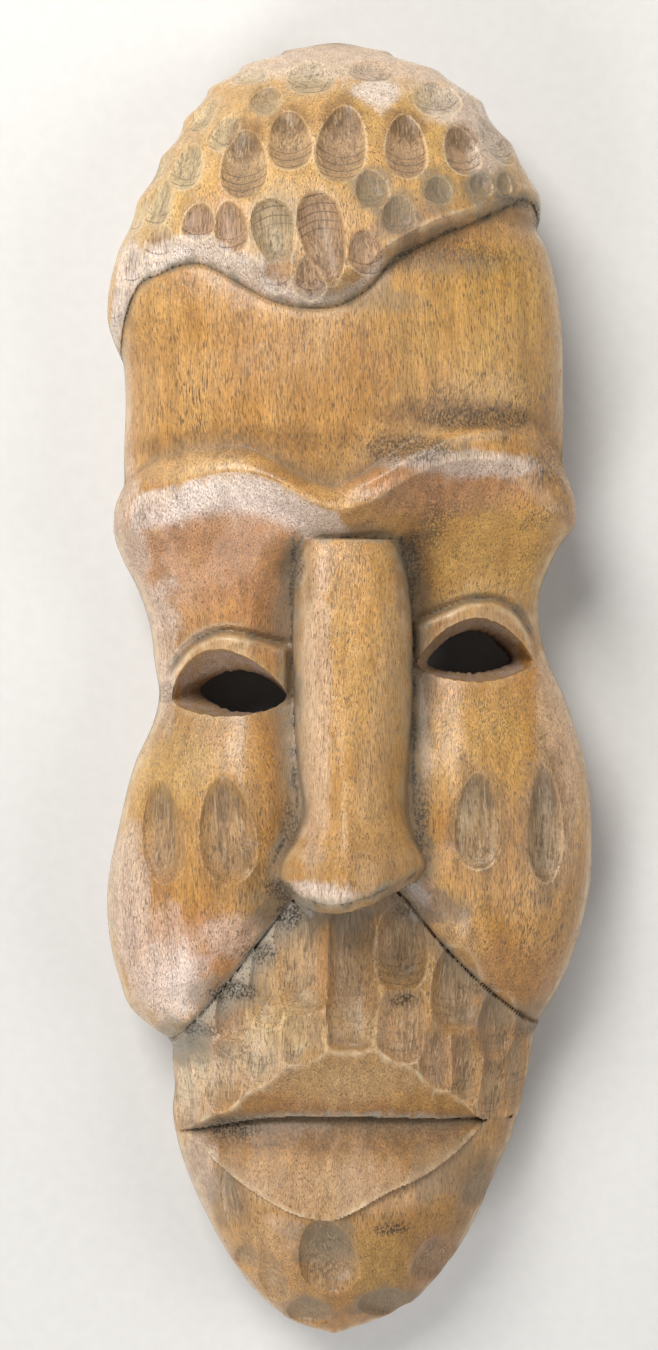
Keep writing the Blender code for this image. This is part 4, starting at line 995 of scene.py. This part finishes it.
def varnished_wood(look):
    """The wood's finish. Its colour is honey brown, turned to rust and gold in patches, paler in the gouges
    and on worn edges; fibres and pores run along the grain, and dust and dirt lie in the creases. Some pale
    patches and rims are painted sheen and highlights, the cuts' tops carry painted shade, and the darkness
    at the mouth's slit is partly painted shade."""
    n = Nodes("varnished carved wood")
    place = n.add("TexCoord", output=3)
    sway = n.add("CombineXYZ", n.times(n.noise(place, SWAY), SWAY_REACH))
    grain = n.add("VectorMath", place, sway, operation="ADD")
    fibres, torn, bands, pore = (n.noise(grain, pattern) for pattern in (FIBRES, TORN, BANDS, PORE))
    clouds, mottle, specks = (n.noise(place, pattern) for pattern in (CLOUDS, MOTTLE, SPECKS))
    cut, foot, arc, lint_mask, hidden = (n.mask(name) for name in ("cut", "foot", "arc", "lint", "hidden"))

    # Varnish and bare wood
    wood = n.mix(n.span(clouds, 0.3, 0.7), look.honey_dark, look.honey)
    wood = n.coat(wood, "hair", 0.6, look.orange)
    wood = n.coat(wood, "rust", n.span(mottle, 0.2, 0.6, 0.4, 0.9), look.rust)
    wood = n.coat(wood, "gold", n.span(mottle, 0.3, 0.7, 0.4, 0.9), look.gold)
    inside = n.mix(foot, look.gouge, look.gouge_foot)
    inside = n.coat(inside, "mauve", 0.85, look.mauve)
    inside = n.coat(inside, "olive", 0.8, look.olive)
    wood = n.coat(wood, "bare", cut, inside)
    wood = n.coat(wood, "mauve", 0.35, look.mauve)
    wood = n.coat(wood, "olive", 0.25, look.olive)
    # Partly painted sheen: the pale coat stands for bleached varnish and for highlights.
    wood = n.coat(wood, "pale", n.span(specks, 0.35, 0.62, 0.58, 0.86), look.bleached_and_sheen)
    # Partly painted shade: this coat also darkens the band along the mouth's slit and the lower face.
    wood = n.coat(wood, "varnish", n.span(mottle, 0.25, 0.6, 0.552, 0.92), look.varnish)

    # Grain, the shade under the cuts' tops, and torn streaks in the cuts
    upper = n.times(cut, n.span(arc, -1.0, 8.0, 0.0, 0.30))
    for brightness in (n.span(bands, 0.3, 0.7, 0.84, 1.12), n.span(fibres, 0.28, 0.72, 0.78, 1.20),
                       n.span(specks, 0.28, 0.72, 0.84, 1.14), n.less(1.06, upper)):
        wood = n.shade(wood, brightness)
    coarse = n.times(cut, n.mask("bare"), n.span(mottle, 0.40, 0.56))
    streaks = n.times(n.span(torn, 0.50, 0.62), coarse)
    wood = n.mix(n.times(streaks, 0.60), wood, look.pore)
    wood = n.mix(n.times(n.span(torn, 0.46, 0.36), coarse, 0.35), wood, look.worn)
    open_pores = n.times(n.span(pore, 0.50, 0.57), n.mask("pores"), n.span(mottle, 0.40, 0.62), 0.9)
    holes = n.most(n.span(pore, 0.59, 0.64, 0.0, 0.65), open_pores)
    wood = n.mix(holes, wood, look.pore)

    # Worn edges and the chisel's arcs; the pale on the cuts' rims is partly a painted highlight, strongest at
    # their feet
    jagged = n.plus(n.mask("rim"), n.span(specks, 0.2, 0.8, -0.45, 0.45))
    lip = n.times(n.span(jagged, -0.45, -0.10), n.span(jagged, 0.35, 0.08))
    edge = n.times(lip, n.mask("edged"), n.span(clouds, 0.38, 0.58, 0.15, 1.0))
    edge = n.most(edge, n.times(n.mask("ridge"), n.span(mottle, 0.35, 0.65, 0.25, 0.85)))
    wood = n.mix(edge, wood, look.worn)
    waves = n.add("Math", n.times(n.plus(arc, n.times(clouds, 3.0)), 2.7), operation="SINE")
    arcs = n.times(n.span(waves, 0.80, 0.97), foot, n.span(clouds, 0.34, 0.46), n.mask("lined"))
    wood = n.mix(n.times(arcs, 0.75), wood, look.pore)

    # Dust, lint and dirt
    seam = n.less(n.mask("seam"), n.span(mottle, 0.35, 0.65, 0.0, 0.7))
    grey = n.most(n.times(n.mask("dust"), n.span(specks, 0.35, 0.65, 0.35, 0.9)),
                  n.times(n.mask("crease"), n.span(specks, 0.3, 0.6, 0.2, 0.75)),
                  n.times(n.span(seam, 2.2, 0.2), n.span(mottle, 0.3, 0.65, 0.1, 0.75)))
    wood = n.mix(grey, wood, look.dust)
    lint = n.times(lint_mask, n.span(torn, 0.35, 0.65, 0.55, 1.0))
    wood = n.mix(lint, wood, look.lint)
    # The dirt colour over the grime mask also darkens the band below the mouth's slit, which is painted shade
    # there.
    dark = n.most(n.times(n.span(seam, 0.20, -0.30), n.span(specks, 0.60, 0.44, 0.15, 0.85)),
                  n.times(n.mask("grime"), n.span(specks, 0.58, 0.42, 0.10, 0.95)),
                  n.times(lint_mask, n.span(specks, 0.44, 0.36, 0.0, 0.85)))
    wood = n.mix(dark, wood, look.dirt)

    # The bare sides and hollow, and the cut wood inside the eyes
    back = n.mix(n.span(fibres, 0.35, 0.65), look.back_dark, look.back)
    back = n.mix(n.span(bands, 0.4, 0.65, 0.0, 0.6), back, look.back_dark)
    back = n.mix(n.span(pore, 0.58, 0.68, 0.0, 0.5), back, look.pore)
    cut_wood = n.mix(n.span(mottle, 0.36, 0.62), look.gouge_foot, look.eye_wall)
    cut_wood = n.mix(n.span(pore, 0.50, 0.60, 0.0, 0.6), cut_wood, look.dirt)
    back = n.coat(back, "eye_wall", n.span(torn, 0.3, 0.6, 0.6, 0.95), cut_wood)
    wood = n.mix(n.span(hidden, 0.2, 0.9), wood, back)

    rough = n.span(mottle, 0.3, 0.7, look.gloss, look.gloss + 0.12)
    rough = n.plus(rough, n.times(n.most(grey, lint, dark), 0.35))
    rough = n.less(rough, n.times(n.mask("polish"), 0.09))
    rough = n.plus(rough, n.times(hidden, 0.25))
    rough = n.chain("ADD", rough, n.times(n.most(cut, n.mask("dull")), 0.30), use_clamp=True)

    height = n.less(n.times(fibres, 0.9), n.times(holes, 0.8), n.times(arcs, 0.9), n.times(streaks, 0.9))
    height = n.plus(height, n.times(mottle, 0.8), n.times(specks, 0.5))
    n.set(Base_Color=wood, Roughness=rough, Specular_IOR_Level=0.5, Coat_Weight=0.12, Coat_Roughness=0.15,
          Normal=n.add("Bump", 0.4, BUMP_DEPTH, None, height))
    return n.material


def floor_paper(look):
    """Plain pale paper with the faintest tooth."""
    n = Nodes("pale floor")
    tooth = n.noise(n.add("TexCoord", output=3), PAPER_TOOTH)
    shaded = [channel * 0.97 for channel in look.floor]
    n.set(Base_Color=n.mix(n.span(tooth, 0.3, 0.7), shaded, look.floor), Roughness=0.85)
    return n.material


def area_light(name, at, size, watts, colour):
    """A square soft light that looks at the middle of the mask."""
    light = bpy.data.lights.new(name, "AREA")
    light.size = size
    light.energy = watts
    light.color = colour
    made = bpy.data.objects.new(name, light)
    made.location = at
    made.rotation_euler = made.location.to_track_quat("Z", "Y").to_euler()
    bpy.context.scene.collection.objects.link(made)


def measure(name, default, words):
    """A length in metres that a user may change."""
    return FloatProperty(name=name, default=default, min=0.001, unit="LENGTH", subtype="DISTANCE",
                         precision=4, description=words)


def tint(name, default, words):
    """A colour that a user may change."""
    return FloatVectorProperty(name=name, default=default, size=3, min=0, max=1, subtype="COLOR",
                               description=words)


def power(name, default, words):
    """A light's power in watts that a user may change."""
    return FloatProperty(name=name, default=default, min=0, unit="POWER", description=words)


class MaskSizes(bpy.types.PropertyGroup):
    length: measure("Length", CAD_HIGH[1] - CAD_LOW[1], "From the chin's tip to the crown")
    width: measure("Width", 0.1425, "Across the face at its widest")
    depth: measure("Depth", 0.074, "From the table to the tip of the nose")
    wall: measure("Wall", 0.012, "Thickness of the wood between the face and the hollow")
    rim: measure("Rim", 0.011, "Width of the flat rim that the mask lies on")
    side_lean: measure("Side lean", 0.003, "How far the sides draw in from the face to the table")
    triangles: IntProperty(name="Triangles", default=186000, min=20000, max=198000,
                           description="About how many triangles the carving keeps")


class MaskFinish(bpy.types.PropertyGroup):
    honey: tint("Honey", (0.49, 0.275, 0.094), "The varnished wood")
    honey_dark: tint("Dark honey", (0.40, 0.195, 0.052), "The wood where the varnish is thick")
    orange: tint("Orange", (0.56, 0.335, 0.12), "The varnish between the hair's gouges")
    rust: tint("Rust", (0.40, 0.185, 0.078), "Reddish wood under the brows and on the cheeks")
    gold: tint("Gold", (0.54, 0.325, 0.085), "Yellow patches")
    gouge: tint("Gouge", (0.455, 0.295, 0.150), "Fresh wood in the gouges")
    gouge_foot: tint("Gouge foot", (0.40, 0.255, 0.130), "The gouges' lower ends")
    olive: tint("Olive", (0.62, 0.50, 0.30), "Gouges that have gone greenish grey")
    mauve: tint("Mauve", (0.36, 0.215, 0.135), "Gouges where the stain has gone pinkish grey")
    # Also paints the shade along the mouth's slit and darkens the lower face.
    varnish: tint("Pooled varnish", (0.21, 0.105, 0.034), "Thick old varnish in the hollows")
    # Also paints sheen and highlights on the left side and on the hair.
    bleached_and_sheen: tint("Bleached", (0.68, 0.59, 0.53), "Varnish gone pale")
    eye_wall: tint("Eye wall", (0.44, 0.31, 0.235), "The cut wood inside the eyes")
    # Also paints the highlight along the cuts' rims.
    worn: tint("Worn edge", (0.70, 0.54, 0.34), "Edges rubbed pale")
    pore: tint("Pores", (0.085, 0.050, 0.026), "Dark pores along the grain")
    dust: tint("Dust", (0.185, 0.155, 0.108), "Brown grey dust in the creases")
    lint: tint("Lint", (0.33, 0.29, 0.23), "Pale grey dust packed into the deepest creases")
    dirt: tint("Dirt", (0.040, 0.030, 0.020), "Old dirt in the deepest creases")
    back: tint("Bare back", (0.30, 0.19, 0.105), "Unvarnished wood of the sides and the hollow")
    back_dark: tint("Dark back", (0.19, 0.11, 0.058), "Streaks in the unvarnished wood")
    gloss: FloatProperty(name="Varnish roughness", default=0.23, min=0.1, max=0.8, subtype="FACTOR",
                         description="How rough the varnish is where it is best kept")


class StudioLook(bpy.types.PropertyGroup):
    floor: tint("Floor", (0.66, 0.65, 0.63), "The plain floor")
    floor_size: measure("Floor size", 3.0, "Side of the square floor")
    camera_height: measure("Camera height", 0.600, "How high the camera hangs over the table")
    window: power("Window light", 21.0, "Light from the lower left")
    ceiling: power("Ceiling light", 15.0, "Light from above the hair")
    doorway: power("Doorway light", 7.0, "Weak light from the right")
    air: FloatProperty(name="Room light", default=0.13, min=0, description="Even light from all round")


class MASK_OT_carve(bpy.types.Operator):
    """Carve the mask at the frame's size and finish its wood"""
    bl_idname = "wooden_mask.carve"
    bl_label = "Carve the mask"

    def execute(self, context):
        mask = carve(context.scene.mask_sizes)
        mask.data.materials.clear()
        mask.data.materials.append(varnished_wood(context.scene.mask_finish))
        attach(mask, "root")
        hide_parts("carved_mask")
        return {"FINISHED"}


class MASK_OT_stage(bpy.types.Operator):
    """Lay a pale floor, hang the soft lights and put the camera over the face"""
    bl_idname = "wooden_mask.stage"
    bl_label = "Set the stage"

    def execute(self, context):
        scene = context.scene
        look = scene.studio_look
        half = look.floor_size / 2
        corners = [(-half, -half, 0), (half, -half, 0), (half, half, 0), (-half, half, 0)]
        mesh = bpy.data.meshes.new("floor")
        mesh.from_pydata(corners, [], [(0, 1, 2, 3)])
        mesh.materials.append(floor_paper(look))
        floor = bpy.data.objects.new("floor", mesh)
        scene.collection.objects.link(floor)
        floor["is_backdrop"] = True
        for name, at, size, colour in LIGHTS:
            area_light(name, at, size, getattr(look, name), colour)
        world = bpy.data.worlds.new("room")
        world.use_nodes = True
        background = world.node_tree.nodes["Background"]
        background.inputs["Color"].default_value = (*ROOM_COLOUR, 1.0)
        background.inputs["Strength"].default_value = look.air
        scene.world = world
        lens = bpy.data.cameras.new("camera")
        lens.sensor_fit = "VERTICAL"
        lens.sensor_height = SENSOR_HEIGHT
        lens.lens = FOCAL_LENGTH
        lens.clip_start = 0.01
        camera = bpy.data.objects.new("camera", lens)
        camera.location = (CAMERA_X, CAMERA_Y, look.camera_height)
        scene.collection.objects.link(camera)
        scene.camera = camera
        scene.view_settings.view_transform = "Standard"
        return {"FINISHED"}


class MASK_PT_panel(bpy.types.Panel):
    bl_label = "Wooden Mask"
    bl_idname = "MASK_PT_panel"
    bl_space_type = "VIEW_3D"
    bl_region_type = "UI"
    bl_category = "Wooden Mask"

    def draw(self, context):
        scene = context.scene
        for group, operator in ((scene.mask_sizes, None), (scene.mask_finish, "wooden_mask.carve"),
                                (scene.studio_look, "wooden_mask.stage")):
            box = self.layout.box()
            for name in group.bl_rna.properties.keys():
                if name not in ("rna_type", "name"):
                    box.prop(group, name)
            if operator:
                box.operator(operator)


CLASSES = (MaskSizes, MaskFinish, StudioLook, MASK_OT_carve, MASK_OT_stage, MASK_PT_panel)


def register():
    for kind in CLASSES:
        bpy.utils.register_class(kind)
    bpy.types.Scene.mask_sizes = PointerProperty(type=MaskSizes)
    bpy.types.Scene.mask_finish = PointerProperty(type=MaskFinish)
    bpy.types.Scene.studio_look = PointerProperty(type=StudioLook)


def unregister():
    del bpy.types.Scene.studio_look
    del bpy.types.Scene.mask_finish
    del bpy.types.Scene.mask_sizes
    for kind in reversed(CLASSES):
        bpy.utils.unregister_class(kind)


def main():
    register()
    bpy.ops.wooden_mask.carve()
    bpy.ops.wooden_mask.stage()


if __name__ == "__main__":
    main()
